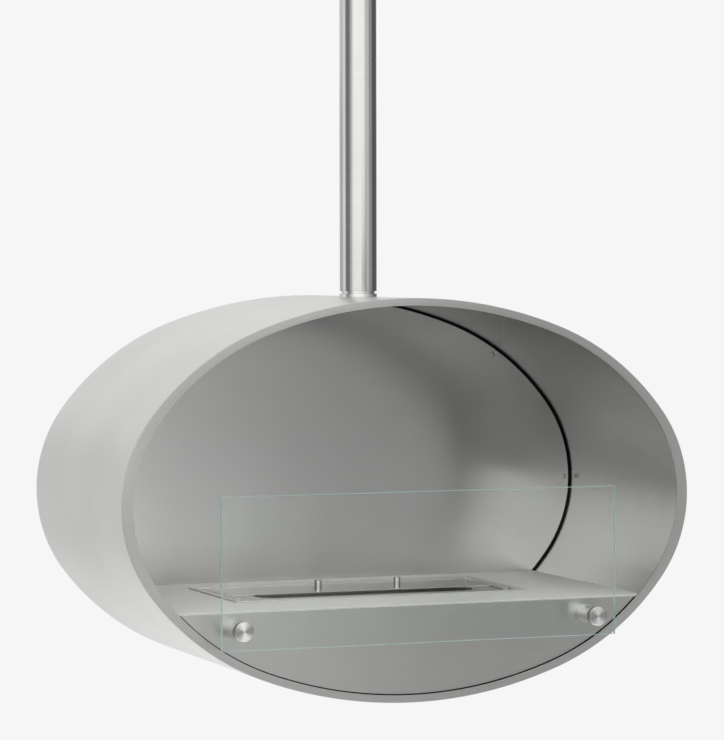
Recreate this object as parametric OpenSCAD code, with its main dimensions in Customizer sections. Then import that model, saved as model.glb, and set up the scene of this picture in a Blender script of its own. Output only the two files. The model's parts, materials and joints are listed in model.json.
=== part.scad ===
// Hanging fireplace: an oval steel body on a ceiling pole, with a tray burner on its shelf.
// Millimetres. The origin is the centre of the ceiling plate's top face, +Z is up
// and the mouth of the fireplace faces -Y.

/* [Body] */
// Radius of the oval's end arcs, left and right
end_r = 234; // [226:1:242]
// Radius of the oval's four shoulder arcs
shoulder_r = 431; // [423:1:439]
// Radius of the oval's top and bottom arcs
top_r = 739; // [731:1:747]
// Depth of the shell, rim included
body_depth = 505; // [470:1:540]
// Thickness of the shell's sheet
shell_t = 2; // [1.5:0.1:2.5]
// Drop from the ceiling to the middle of the shell
body_drop = 1332.5; // [900:0.5:1900]

/* [Front rim] */
// Thickness of the rim plate
rim_t = 3; // [2:0.1:5]
// How much smaller the end arcs are at the rim's inner edge
rim_end_step = 6; // [2:1:10]
// How much smaller the other arcs are at the rim's inner edge
rim_top_step = 22; // [18:1:26]

/* [Back] */
// Distance from the shell's rear edge to the front of the back panel
panel_inset = 38; // [28:1:60]
// Thickness of the back panel
panel_t = 2; // [1.5:0.1:3]
// Dark gap between back panel and shell
panel_gap = 4; // [2:0.1:6]
// Distance from the panel's edge to its screws
panel_screw_inset = 9; // [8:0.5:12]
// Number of panel screws
panel_screw_count = 8; // [4:1:12]
// Diameter of the posts behind the panel
post_d = 12; // [10:0.5:14]
// Width of the rear flange ring
flange_w = 24; // [22:0.5:32]
// Thickness of the rear flange ring
flange_t = 3; // [2:0.1:5]
// Thickness of the rear cover
cover_t = 2; // [1.5:0.1:3]
// Depth of the rear cover below the shell's edge
cover_recess = 1; // [0.5:0.1:3]
// Gap round the rear cover
cover_gap = 0.75; // [0.5:0.25:2]

/* [Ceiling fixing] */
// Diameter of the ceiling plate
plate_d = 140; // [136:1:144]
// Thickness of the ceiling plate
plate_t = 8; // [6:0.5:12]
// Diameter of the bolt circle
bolt_circle_d = 110; // [106:1:114]
// Number of ceiling bolts
bolt_count = 4; // [3:1:6]
// Diameter of each ceiling bolt hole
bolt_hole_d = 11; // [8:0.5:12]
// Length of the socket inside the pole
socket_len = 70; // [62:1:80]
// Wall of the socket
socket_wall = 4; // [3:0.5:6]
// Height of the upper pole bolt below the ceiling plate
pole_bolt_drop = 20; // [14:1:24]
// Distance between the two pole bolts
pole_bolt_pitch = 30; // [22:1:34]

/* [Pole] */
// Outside diameter of the pole
pole_d = 63.5; // [60:0.5:66]
// Wall of the pole
pole_wall = 2; // [1.5:0.1:3]

/* [Canopy] */
// Outside diameter of the canopy
canopy_d = 152; // [150:1:170]
// Height of the canopy's bowl
canopy_h = 80; // [72:1:95]
// Wall of the canopy
canopy_wall = 1.5; // [1:0.1:2]
// Corner radius of the canopy
canopy_corner_r = 10; // [4:0.5:14]
// Radial gap between canopy and pole
canopy_gap = 0.5; // [0.3:0.1:1]
// Height of the hub under the canopy
hub_h = 12; // [10:0.5:18]
// Wall of the hub
hub_wall = 8; // [6:0.5:12]

/* [Swivel] */
// Height of the collar above the shell
collar_h = 5; // [3:0.1:10]
// Height of the shadow groove between pole and collar
groove_h = 4.3; // [2:0.1:8]
// Diameter of the neck in the groove
neck_d = 56.5; // [52:0.5:58]
// Length of the foot inside the pole
foot_len = 30; // [20:1:50]
// Diameter of the swivel spindle
spindle_d = 30; // [26:0.5:32]
// Radial running clearance of the spindle
spindle_fit = 0.05; // [0.02:0.01:0.08]
// Wall of the bearing bush
bush_wall = 2.5; // [2:0.1:3]
// Width of the saddle plate across the shell
saddle_w = 130; // [100:1:150]
// Length of the saddle plate along the shell
saddle_len = 180; // [140:1:220]
// Thickness of the saddle plate on its centre line
saddle_t = 8; // [7:0.1:10]
// Thickness of the thrust washer
washer_t = 2; // [1.5:0.1:3]
// Outside diameter of the thrust washer and the nut
nut_d = 48; // [44:0.5:50]
// Height of the swivel nut
nut_h = 7; // [6:0.1:9]
// Bolt circle of the saddle screws
saddle_screw_circle_d = 49.5; // [48:0.5:52]

/* [Shelf] */
// Depth of the shelf's top below the middle of the shell
shelf_drop = 171; // [160:1:182]
// Thickness of the shelf's sheet
shelf_t = 2; // [1.5:0.1:3]
// Distance from the back of the rim to the apron
apron_setback = 1.5; // [1:0.5:8]
// Gap between the apron's edge and the rim's opening
apron_gap = 1.75; // [0.5:0.25:3]
// Outside radius of the fold
fold_r = 3; // [2.5:0.1:5]
// Gap between the shelf and the shell's wall
shelf_gap = 1; // [0.5:0.1:3]
// Width of the shelf bracket's level leg
bracket_w = 48; // [44:1:60]
// Height of the shelf bracket's curved leg
bracket_h = 34; // [24:1:44]
// Thickness of the shelf bracket
bracket_t = 2; // [1.5:0.1:3]
// Distance from the bracket's end to its nearest stud
stud_end = 40; // [20:1:80]

/* [Glass screen] */
// Width of the glass
glass_w = 693; // [650:1:720]
// Height of the glass
glass_h = 248; // [200:1:280]
// Thickness of the glass
glass_t = 6; // [5:0.5:8]
// Radius of the glass corners
glass_corner_r = 2; // [1:0.5:6]
// Depth of the glass's lower edge below the middle of the shell
glass_foot_drop = 230; // [222:1:238]
// Distance from the apron to the back of the glass
glass_standoff = 38; // [30:1:60]
// Distance from the glass's side edge to its hole
glass_hole_side = 35; // [26:1:50]
// Distance from the glass's lower edge to its hole
glass_hole_foot = 32; // [26:1:42]
// Diameter of the hole in the glass
glass_hole_d = 14; // [10:0.5:16]
// Diameter of the stand-offs
standoff_d = 32; // [28:0.5:36]
// Thickness of the stand-off caps
cap_t = 8; // [7:0.5:14]
// Thickness of the glass gaskets
gasket_t = 1; // [0.5:0.1:2]

/* [Burner tray] */
// Width of the burner's raised frame
frame_w = 526; // [500:1:560]
// Depth of the burner's raised frame, front to back
frame_d = 252; // [246:1:260]
// Distance from the middle of the shell back to the middle of the burner
burner_y = 9; // [0:1:20]
// Height of the burner's frame above the shelf
frame_proud = 2.5; // [2.2:0.1:5]
// Width of the frame's flat strip
frame_strip = 12; // [10:0.5:16]
// Thickness of the burner's sheet
tray_t = 1.5; // [1:0.1:2]
// Depth of the tray below the shelf's top
tray_depth = 60; // [50:1:90]
// Gap between the tray and the cut-out in the shelf
cutout_gap = 1.5; // [1:0.1:3]
// Thickness of the ceramic pad
pad_t = 28; // [15:1:32]

/* [Burner deck] */
// Depth of the deck's top below the shelf's top
deck_drop = 1; // [0.5:0.1:2]
// Thickness of the deck
deck_t = 2; // [1.5:0.1:3]
// Gap round the deck
deck_gap = 0.8; // [0.5:0.1:1.5]
// Width of the slot, front to back
slot_d = 70; // [60:1:76]
// Distance from the front of the recess to the slot
slot_front = 43; // [38:1:48]
// Distance from the side of the recess to the slot's end
slot_side = 53; // [46:1:64]

/* [Burner lid] */
// Slot opening left in front of the lid
lid_open = 48; // [20:1:50]
// Lid overlap beyond the slot, front and back
lid_overlap = 5; // [4:0.5:8]
// Thickness of the lid
lid_t = 2; // [1.5:0.1:2.2]
// Gap under the lid
lid_gap = 0.2; // [0.1:0.05:0.4]
// Side gap and top gap between lid and rails
rail_gap = 0.3; // [0.2:0.05:0.5]
// Width of the rail beside the lid
rail_w = 6; // [5:0.5:8]
// Lap of the rail over the lid
rail_lap = 3; // [2:0.5:5]
// Thickness of the rail's lip
rail_lip_t = 1; // [0.8:0.1:1.5]
// Diameter of the knobs
knob_d = 12.6; // [11:0.1:14]
// Height of the knobs
knob_h = 18.7; // [12:0.1:24]
// Distance between the knobs
knob_pitch = 145; // [80:1:220]
// Distance from the lid's front edge to the knobs
knob_front = 21; // [14:0.5:30]

/* [Fasteners] */
// Thread diameter of the pole bolts and stand-off studs
bolt_d = 8; // [6:0.5:8]
// Width across flats of their heads and nuts
bolt_flats = 13; // [12:0.5:14]
// Thread diameter of the saddle screws, shelf studs and grub screw
screw_d = 5; // [4:0.5:5.5]
// Width across flats of the shelf nuts
screw_flats = 8; // [7:0.5:10]
// Thread diameter of the panel, cover and knob screws
small_screw_d = 4; // [3:0.5:5]
// Head diameter of the panel and cover screws
small_head_d = 7.6; // [6:0.1:9]
// Head height of the panel and cover screws
small_head_h = 2.2; // [1.6:0.1:3]
// Depth of the thread in a post
small_thread = 10; // [8:0.5:13]
// Radial clearance of threads and seats
seat_gap = 0.05; // [0.02:0.01:0.1]
// Gap between the shell and the curved plates inside it
curve_gap = 0.125; // [0.125:0.125:0.5]
// Distance from the shelf's side edge to its studs
stud_side = 30; // [20:1:36]
// Sheet left in front of the screw in a stand-off cap
cap_end = 2.5; // [2:0.5:4]

/* [Hidden] */

$fn = 64;
arc_fn = 240;     // facets of the oval's large arcs
cut = 1;          // overshoot of a cutting tool
hex_fn = 6;       // sides of a hexagon

// Screws and nuts as shares of their thread diameter
head_ratio = 0.65;       // height of a hexagon head
nut_ratio = 0.8;         // height of a nut
socket_ratio = 0.5;      // key socket across its flats
cap_head_ratio = 1.7;    // diameter of a cylinder head
sunk_head_ratio = 1.75;  // diameter of a countersunk head
thread_end = 1;          // thread or space left past the end of a screw

// Shell and rim. The arcs meet in directions with short decimals, so their joints are exact.
end_dir = [0.8, 0.6];
shoulder_dir = [0.352, 0.936];
shell_radii = [end_r, shoulder_r, top_r];
rim_radii = shell_radii - [rim_end_step, rim_top_step, rim_top_step];
half_w = oval_centres(shell_radii)[0].x + end_r;
half_h = oval_centres(shell_radii)[2].y + top_r;
half_in_h = half_h - shell_t;
front_y = -body_depth / 2;
back_y = body_depth / 2;
body_z = -body_drop;

// Back
cover_back_y = back_y - cover_recess;
flange_back_y = cover_back_y - cover_t;
flange_front_y = flange_back_y - flange_t;
panel_y = back_y - panel_inset;
panel_back_y = panel_y + panel_t;
post_inset = shell_t + panel_gap + panel_screw_inset;

// Pole and ceiling fixing
pole_in_d = pole_d - 2 * pole_wall;
socket_gap = 0.5;
socket_d = pole_in_d - 2 * socket_gap;
pole_top_gap = 1;
bolt_hole_gap = 0.5;
hex_ratio = 1 / cos(180 / hex_fn);
bolt_head_h = head_ratio * bolt_d;
bolt_nut_h = nut_ratio * bolt_d;
bolt_end = 2;
canopy_top_gap = 0.5;
hub_d = pole_d + 2 * canopy_gap + 2 * hub_wall;
grub_tip_gap = 0.3;
grub_sink = 1;
grub_socket = 2;

// Swivel, heights above the middle of the shell
swivel_gap = 0.3;
collar_top_z = half_h + collar_h;
pole_bottom_z = collar_top_z + groove_h;
neck_bottom_z = collar_top_z + swivel_gap;
saddle_bottom_z = half_in_h - saddle_t;
washer_bottom_z = saddle_bottom_z - washer_t;
nut_gap = 0.1;
nut_top_z = washer_bottom_z - nut_gap;
nut_bottom_z = nut_top_z - nut_h;
spindle_bottom_z = nut_bottom_z - thread_end;
bush_in_d = spindle_d + 2 * spindle_fit;
bush_d = bush_in_d + 2 * bush_wall;
foot_chamfer = 2;
nut_slot_w = 6;
nut_slot_h = 3;
nut_slot_count = 4;
collar_skirt = 4;
saddle_screw_count = 4;
saddle_screw_head_h = 2.6;
saddle_screw_head_d = cap_head_ratio * screw_d;
saddle_screw_cover = 1.5;
saddle_screw_end_z = collar_top_z - saddle_screw_cover;

// Shelf, heights above the middle of the shell
shelf_z = -shelf_drop;
shelf_bottom_z = shelf_z - shelf_t;
apron_y = front_y + rim_t + apron_setback;
apron_back_y = apron_y + shelf_t;
shelf_back_y = panel_y - shelf_gap;
shelf_half_w = oval_reach(shell_t, shelf_bottom_z) - shelf_gap;
bracket_end_gap = 15;
bracket_front_y = apron_back_y + bracket_end_gap;
bracket_back_y = shelf_back_y - bracket_end_gap;
fitted_inset = shell_t + curve_gap;
bracket_bottom_z = shelf_bottom_z - bracket_t;
stud_x = shelf_half_w - stud_side;
stud_y = [bracket_front_y + stud_end, bracket_back_y - stud_end];
stud_len = 11;
shelf_nut_h = nut_ratio * screw_d;

// Glass screen
glass_back_y = apron_y - glass_standoff;
glass_y = glass_back_y - glass_t;
cap_y = glass_y - gasket_t - cap_t;
hole_x = glass_w / 2 - glass_hole_side;
hole_z = -glass_foot_drop + glass_hole_foot;
cap_chamfer = 1;
cap_bore = cap_t - cap_end;
standoff_bore_d = bolt_d + 2 * seat_gap;
nut_flange_d = 26;
nut_flange_h = 1.5;
gasket_step = 1;
gasket_d = standoff_d - 2 * gasket_step;

// Burner, heights above the middle of the shell
burner_seat_gap = 0.2;
frame_top_z = shelf_z + frame_proud;
recess_w = frame_w - 2 * frame_strip;
recess_d = frame_d - 2 * frame_strip;
recess_front_y = burner_y - recess_d / 2;
tray_w = recess_w + 2 * tray_t;
tray_d = recess_d + 2 * tray_t;
tray_bottom_z = shelf_z - tray_depth;
deck_z = shelf_z - deck_drop;
deck_bottom_z = deck_z - deck_t;
ledge_w = 10;
pad_gap = 2;
slot_w = recess_w - 2 * slot_side;
slot_front_y = recess_front_y + slot_front;
slot_mid_y = slot_front_y + slot_d / 2;

// Lid
lid_side_gap = 2;
lid_w = recess_w - 2 * (rail_w + rail_gap + lid_side_gap);
lid_d = slot_d + 2 * lid_overlap;
lid_front_y = slot_front_y + lid_open;
lid_bottom_z = deck_z + lid_gap;
lid_top_z = lid_bottom_z + lid_t;
lid_short = 1;
lid_past = 2.5;
lid_closed_y = slot_front_y - lid_overlap + lid_short;
lid_opened_y = slot_front_y + slot_d + lid_past;
rail_in_x = lid_w / 2 + rail_gap;
rail_end = 4;
rail_front_y = lid_closed_y - rail_gap - rail_end;
rail_back_y = lid_opened_y + lid_d + rail_gap + rail_end;
rail_shoulder_z = lid_top_z + rail_gap;
knob_y = lid_front_y + knob_front;
knob_chamfer = 0.8;
knob_neck_step = 0.5;
knob_neck_h = 1.2;
knob_thread = 8;
knob_screw_head_d = sunk_head_ratio * small_screw_d;
knob_screw_land = 0.4;
knob_screw_head_h = lid_t - knob_screw_land;

// Moves its children from the shell's middle to their place under the ceiling
module in_body() {
    translate([0, 0, body_z])
        children();
}

// Centres of an oval's end, shoulder and top arcs in the first quadrant
function oval_centres(r) =
    let (
        end_step = (r[1] - r[0]) * end_dir,
        shoulder_step = (r[2] - r[1]) * shoulder_dir
    )
    [
        [end_step.x + shoulder_step.x, 0],
        [shoulder_step.x, -end_step.y],
        [0, -end_step.y - shoulder_step.y]
    ];

// Half width of the shell's oval, inset evenly, at height z
function oval_reach(inset, z) =
    let (
        c = oval_centres(shell_radii),
        end_top = (end_r - inset) * end_dir.y,
        shoulder_top = c[1].y + (shoulder_r - inset) * shoulder_dir.y,
        i = abs(z) < end_top ? 0 : abs(z) < shoulder_top ? 1 : 2
    )
    c[i].x + sqrt(pow(shell_radii[i] - inset, 2) - pow(abs(z) - c[i].y, 2));

// Part of a disc beyond the chord between two points, taken anticlockwise
module segment(centre, r, from, to) {
    run = to - from;
    ext = run / 2;
    out = [run.y, -run.x];
    intersection() {
        translate(centre)
            circle(r = r, $fn = arc_fn);
        polygon([from - ext, to + ext, to + ext + out, from - ext + out]);
    }
}

// Oval of eight tangent arcs, across X and up Y, drawn inside the full size by an even inset
module oval(radii, inset = 0) {
    c = oval_centres(radii);
    end_joint = c[0] + (radii[0] - inset) * end_dir;
    top_joint = c[1] + (radii[1] - inset) * shoulder_dir;
    low_joint = [end_joint.x, -end_joint.y];
    far_joint = [-top_joint.x, top_joint.y];
    polygon([
        low_joint, end_joint, top_joint, far_joint,
        -low_joint, -end_joint, -top_joint, -far_joint
    ]);
    for (side = [0, 1])
        mirror([side, 0]) {
            segment(c[0], radii[0] - inset, low_joint, end_joint);
            for (flip = [0, 1])
                mirror([0, flip])
                    segment(c[1], radii[1] - inset, end_joint, top_joint);
        }
    for (flip = [0, 1])
        mirror([0, flip])
            segment(c[2], radii[2] - inset, top_joint, far_joint);
}

// Stands a drawing up in the XZ plane and gives it depth from y0 back to y1
module upright(y0, y1) {
    translate([0, y1, 0])
        rotate([90, 0, 0])
            linear_extrude(height = y1 - y0)
                children();
}

// Solid of the shell's oval, inset evenly, from y0 to y1
module oval_slab(inset, y0, y1) {
    upright(y0, y1)
        oval(shell_radii, inset);
}

// Ring between two insets of the shell's oval
module oval_ring(inset_out, inset_in, y0, y1) {
    upright(y0, y1)
        difference() {
            oval(shell_radii, inset_out);
            oval(shell_radii, inset_in);
        }
}

// Box between two heights, centred on X and on the given y
module plate_between(w, d, mid_y, z0, z1) {
    translate([-w / 2, mid_y - d / 2, z0])
        cube([w, d, z1 - z0]);
}

// Places children at each panel screw, round the oval
module at_panel_screws() {
    for (i = [0 : panel_screw_count - 1])
        let (t = i * 360 / panel_screw_count)
            translate([(half_w - post_inset) * cos(t), 0, (half_h - post_inset) * sin(t)])
                children();
}

// Places children at each saddle screw
module at_saddle_screws() {
    for (i = [0 : saddle_screw_count - 1])
        rotate([0, 0, (i + 0.5) * 360 / saddle_screw_count])
            translate([saddle_screw_circle_d / 2, 0, 0])
                children();
}

// Places children at each shelf stud
module at_shelf_studs() {
    for (side = [-1, 1])
        for (y = stud_y)
            translate([side * stud_x, y, 0])
                children();
}

// Places children on the axis of each stand-off
module at_standoffs() {
    for (side = [-1, 1])
        translate([side * hole_x, 0, hole_z])
            children();
}

// Places children at each knob
module at_knobs() {
    for (side = [-1, 1])
        translate([side * knob_pitch / 2, knob_y, 0])
            children();
}

// Cylinder that runs along Y from y0 to y1
module rod_y(d, y0, y1) {
    translate([0, y1, 0])
        rotate([90, 0, 0])
            cylinder(d = d, h = y1 - y0);
}

// Hexagonal prism on Z, measured across its flats
module hexagon(flats, h) {
    cylinder(d = flats * hex_ratio, h = h, $fn = hex_fn);
}

// Round-headed socket screw, head up from z = 0 and shank below
module button_screw(d, head_d, head_h, shank) {
    dome_r = (head_d * head_d / 4 + head_h * head_h) / (2 * head_h);
    difference() {
        union() {
            intersection() {
                translate([0, 0, head_h - dome_r])
                    sphere(r = dome_r);
                cylinder(d = head_d, h = head_h);
            }
            translate([0, 0, -shank])
                cylinder(d = d, h = shank + head_h / 4);
        }
        translate([0, 0, head_h / 2])
            hexagon(socket_ratio * d, head_h);
    }
}

// Hexagon nut on Z with its bore
module nut(d, flats, h) {
    difference() {
        hexagon(flats, h);
        translate([0, 0, -cut])
            cylinder(d = d + 2 * seat_gap, h = h + 2 * cut);
    }
}

// Round plate with its welded socket
module ceiling_plate() {
    socket_z = -plate_t - socket_len;
    color("gray")
        difference() {
            union() {
                translate([0, 0, -plate_t])
                    cylinder(d = plate_d, h = plate_t);
                translate([0, 0, socket_z])
                    cylinder(d = socket_d, h = socket_len);
            }
            translate([0, 0, socket_z - cut])
                cylinder(d = socket_d - 2 * socket_wall, h = socket_len + cut);
            for (i = [0 : bolt_count - 1])
                rotate([0, 0, (i + 0.5) * 360 / bolt_count])
                    translate([bolt_circle_d / 2, 0, -plate_t - cut])
                        cylinder(d = bolt_hole_d, h = plate_t + 2 * cut);
            pole_bolt_holes();
        }
}

// Places children on the axis of each pole bolt
module at_pole_bolts() {
    for (i = [0, 1])
        translate([0, 0, -plate_t - pole_bolt_drop - i * pole_bolt_pitch])
            children();
}

module pole_bolt_holes() {
    at_pole_bolts()
        rod_y(bolt_d + bolt_hole_gap, -pole_d, pole_d);
}

// Pole tube
module pole() {
    top_z = -plate_t - pole_top_gap;
    bottom_z = body_z + pole_bottom_z;
    color("silver")
        difference() {
            translate([0, 0, bottom_z])
                cylinder(d = pole_d, h = top_z - bottom_z);
            translate([0, 0, bottom_z - cut])
                cylinder(d = pole_in_d, h = top_z - bottom_z + 2 * cut);
            pole_bolt_holes();
        }
}

module pole_bolts() {
    color("dimgray")
        at_pole_bolts() {
            rod_y(bolt_d, -pole_d / 2 - cut, pole_d / 2 + bolt_nut_h + bolt_end);
            translate([0, -pole_d / 2, 0])
                rotate([90, 0, 0])
                    hexagon(bolt_flats, bolt_head_h);
        }
}

module pole_nuts() {
    color("dimgray")
        at_pole_bolts()
            translate([0, pole_d / 2 + bolt_nut_h, 0])
                rotate([90, 0, 0])
                    nut(bolt_d, bolt_flats, bolt_nut_h);
}

// Half section of the canopy's bowl for a given outer radius, floor height and corner radius
module bowl_section(r, floor_z, corner_r) {
    translate([0, floor_z + corner_r])
        square([r, -floor_z - corner_r]);
    translate([0, floor_z])
        square([r - corner_r, corner_r + cut]);
    intersection() {
        translate([r - corner_r, floor_z + corner_r])
            circle(r = corner_r);
        translate([0, floor_z])
            square([r, -floor_z]);
    }
}

// Canopy: bowl over the ceiling plate with a hub that grips the pole
module canopy() {
    bore_d = pole_d + 2 * canopy_gap;
    color("silver")
        translate([0, 0, -canopy_top_gap])
            difference() {
                union() {
                    rotate_extrude()
                        difference() {
                            bowl_section(canopy_d / 2, -canopy_h, canopy_corner_r);
                            translate([0, cut])
                                bowl_section(canopy_d / 2 - canopy_wall,
                                             -canopy_h + canopy_wall - cut,
                                             canopy_corner_r - canopy_wall);
                        }
                    translate([0, 0, -canopy_h - hub_h])
                        cylinder(d = hub_d, h = hub_h + canopy_wall / 2);
                }
                translate([0, 0, -canopy_h - hub_h - cut])
                    cylinder(d = bore_d, h = hub_h + canopy_wall + 2 * cut);
                translate([0, 0, -canopy_h - hub_h / 2])
                    rod_y(screw_d + 2 * seat_gap, 0, hub_d);
            }
}

module canopy_grub_screw() {
    inner_y = pole_d / 2 + grub_tip_gap;
    outer_y = hub_d / 2 - grub_sink;
    color("dimgray")
        translate([0, 0, -canopy_top_gap - canopy_h - hub_h / 2])
            difference() {
                rod_y(screw_d, inner_y, outer_y);
                translate([0, outer_y + cut, 0])
                    rotate([90, 0, 0])
                        hexagon(socket_ratio * screw_d, grub_socket + cut);
            }
}

// Foot of the pole: plug in the tube, neck in the groove and swivel spindle in one turned piece
module pole_foot() {
    plug_r = pole_in_d / 2 - seat_gap;
    plug_top_z = pole_bottom_z + foot_len;
    color("silver")
        in_body()
            rotate_extrude()
                polygon([
                    [0, spindle_bottom_z],
                    [spindle_d / 2, spindle_bottom_z],
                    [spindle_d / 2, neck_bottom_z],
                    [neck_d / 2, neck_bottom_z],
                    [neck_d / 2, pole_bottom_z],
                    [plug_r, pole_bottom_z],
                    [plug_r, plug_top_z - foot_chamfer],
                    [plug_r - foot_chamfer, plug_top_z],
                    [0, plug_top_z]
                ]);
}

// Slotted round nut that carries the body on the spindle
module swivel_nut() {
    color("dimgray")
        in_body()
            difference() {
                translate([0, 0, nut_bottom_z])
                    cylinder(d = nut_d, h = nut_h);
                translate([0, 0, nut_bottom_z - cut])
                    cylinder(d = spindle_d + 2 * seat_gap, h = nut_h + 2 * cut);
                for (i = [0 : nut_slot_count - 1])
                    rotate([0, 0, i * 360 / nut_slot_count])
                        translate([nut_d / 2 - nut_slot_h, -nut_slot_w / 2, nut_bottom_z - cut])
                            cube([nut_slot_h + cut, nut_slot_w, nut_h + 2 * cut]);
            }
}

module thrust_washer() {
    color("goldenrod")
        in_body()
            difference() {
                translate([0, 0, washer_bottom_z])
                    cylinder(d = nut_d, h = washer_t);
                translate([0, 0, washer_bottom_z - cut])
                    cylinder(d = bush_in_d, h = washer_t + 2 * cut);
            }
}

module bearing_bush() {
    color("goldenrod")
        in_body()
            difference() {
                translate([0, 0, saddle_bottom_z])
                    cylinder(d = bush_d, h = collar_top_z - saddle_bottom_z);
                translate([0, 0, saddle_bottom_z - cut])
                    cylinder(d = bush_in_d, h = collar_top_z - saddle_bottom_z + 2 * cut);
            }
}

// Bore for the bush and holes for the saddle screws, between two heights
module swivel_holes(z0, z1) {
    translate([0, 0, z0])
        cylinder(d = bush_d + 2 * seat_gap, h = z1 - z0);
    at_saddle_screws()
        translate([0, 0, z0])
            cylinder(d = screw_d + 2 * seat_gap, h = z1 - z0);
}

// Collar with its foot cut to sit on the oval shell
module collar() {
    color("silver")
        in_body()
            difference() {
                translate([0, 0, half_h - collar_skirt])
                    cylinder(d = pole_d, h = collar_h + collar_skirt);
                oval_slab(0, -pole_d, pole_d);
                translate([0, 0, half_h - collar_skirt - cut])
                    cylinder(d = bush_d + 2 * seat_gap, h = collar_h + collar_skirt + 2 * cut);
                at_saddle_screws()
                    translate([0, 0, half_h - collar_skirt - cut])
                        cylinder(d = screw_d + 2 * seat_gap,
                                 h = saddle_screw_end_z - half_h + collar_skirt + cut);
            }
}

// Saddle plate, its top curved to the inside of the shell
module saddle_plate() {
    color("gray")
        in_body()
            difference() {
                intersection() {
                    plate_between(saddle_w, saddle_len, 0, saddle_bottom_z, half_h);
                    oval_slab(fitted_inset, -saddle_len, saddle_len);
                }
                swivel_holes(saddle_bottom_z - cut, half_h);
                at_saddle_screws()
                    translate([0, 0, saddle_bottom_z - cut])
                        cylinder(d = saddle_screw_head_d + 2 * seat_gap, h = saddle_screw_head_h + cut);
            }
}

// Saddle screws from below, heads sunk in the saddle plate
module saddle_screws() {
    head_top_z = saddle_bottom_z + saddle_screw_head_h - seat_gap;
    color("dimgray")
        in_body()
            at_saddle_screws()
                difference() {
                    union() {
                        translate([0, 0, saddle_bottom_z])
                            cylinder(d = saddle_screw_head_d, h = head_top_z - saddle_bottom_z);
                        translate([0, 0, saddle_bottom_z])
                            cylinder(d = screw_d, h = saddle_screw_end_z - seat_gap - saddle_bottom_z);
                    }
                    translate([0, 0, saddle_bottom_z - cut])
                        hexagon(socket_ratio * screw_d, cut + saddle_screw_head_h / 2);
                }
}

// Oval shell of rolled sheet, open at both ends
module shell() {
    color("lightgray")
        in_body()
            difference() {
                oval_ring(0, shell_t, front_y + rim_t, back_y);
                swivel_holes(half_h - shell_t - collar_skirt, half_h + cut);
            }
}

module front_rim() {
    color("silver")
        in_body()
            upright(front_y, front_y + rim_t)
                difference() {
                    oval(shell_radii);
                    oval(rim_radii);
                }
}

// Holes for the small screws, along Y
module small_screw_holes(y0, y1) {
    at_panel_screws()
        rod_y(small_screw_d + 2 * seat_gap, y0, y1);
}

module rear_flange() {
    color("dimgray")
        in_body()
            difference() {
                oval_ring(shell_t, shell_t + flange_w, flange_front_y, flange_back_y);
                small_screw_holes(flange_front_y - cut, flange_back_y + cut);
            }
}

module rear_cover() {
    color("gray")
        in_body()
            difference() {
                oval_slab(shell_t + cover_gap, flange_back_y, cover_back_y);
                small_screw_holes(flange_back_y - cut, cover_back_y + cut);
            }
}

module rear_cover_screws() {
    color("dimgray")
        in_body()
            at_panel_screws()
                translate([0, cover_back_y, 0])
                    rotate([-90, 0, 0])
                        button_screw(small_screw_d, small_head_d, small_head_h,
                                     cover_t + flange_t + small_thread);
}

// Posts between rear flange and back panel, tapped at both ends
module panel_posts() {
    bore = small_thread + seat_gap;
    color("gray")
        in_body()
            difference() {
                at_panel_screws()
                    rod_y(post_d, panel_back_y, flange_front_y);
                small_screw_holes(panel_back_y - cut, panel_back_y + bore);
                small_screw_holes(flange_front_y - bore, flange_front_y + cut);
            }
}

module back_panel() {
    color("darkgray")
        in_body()
            difference() {
                oval_slab(shell_t + panel_gap, panel_y, panel_back_y);
                small_screw_holes(panel_y - cut, panel_back_y + cut);
            }
}

module panel_screws() {
    color("dimgray")
        in_body()
            at_panel_screws()
                translate([0, panel_y, 0])
                    rotate([90, 0, 0])
                        button_screw(small_screw_d, small_head_d, small_head_h, panel_t + small_thread);
}

// Side view of the folded sheet: level shelf, rounded fold and apron
module shelf_section(foot_z) {
    difference() {
        union() {
            translate([apron_y + fold_r, shelf_bottom_z])
                square([shelf_back_y - apron_y - fold_r, shelf_t]);
            translate([apron_y, foot_z])
                square([shelf_t, shelf_z - fold_r - foot_z]);
            intersection() {
                translate([apron_y + fold_r, shelf_z - fold_r])
                    circle(r = fold_r);
                translate([apron_y, shelf_z - fold_r])
                    square([fold_r, fold_r]);
            }
        }
        translate([apron_y + fold_r, shelf_z - fold_r])
            circle(r = fold_r - shelf_t);
    }
}

// Shelf and apron, folded from one sheet, with the burner's cut-out and weld studs
module shelf() {
    cutout_w = tray_w + 2 * cutout_gap;
    cutout_d = tray_d + 2 * cutout_gap;
    apron_zone = apron_back_y + cut / 2;
    color("silver")
        in_body() {
            difference() {
                translate([-shelf_half_w, 0, 0])
                    rotate([90, 0, 90])
                        linear_extrude(height = 2 * shelf_half_w)
                            shelf_section(-half_h);
                difference() {
                    translate([-half_w, apron_y - cut, -half_h - cut])
                        cube([2 * half_w, apron_zone - apron_y + cut, half_h + cut + shelf_z - fold_r]);
                    upright(apron_y - 2 * cut, apron_zone + cut)
                        oval(rim_radii, apron_gap);
                }
                plate_between(cutout_w, cutout_d, burner_y, shelf_bottom_z - cut, shelf_z + cut);
                at_standoffs()
                    rod_y(standoff_bore_d, apron_y - cut, apron_back_y + cut);
            }
            at_shelf_studs()
                translate([0, 0, shelf_bottom_z - stud_len])
                    cylinder(d = screw_d, h = stud_len + shelf_t / 2);
        }
}

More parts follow.
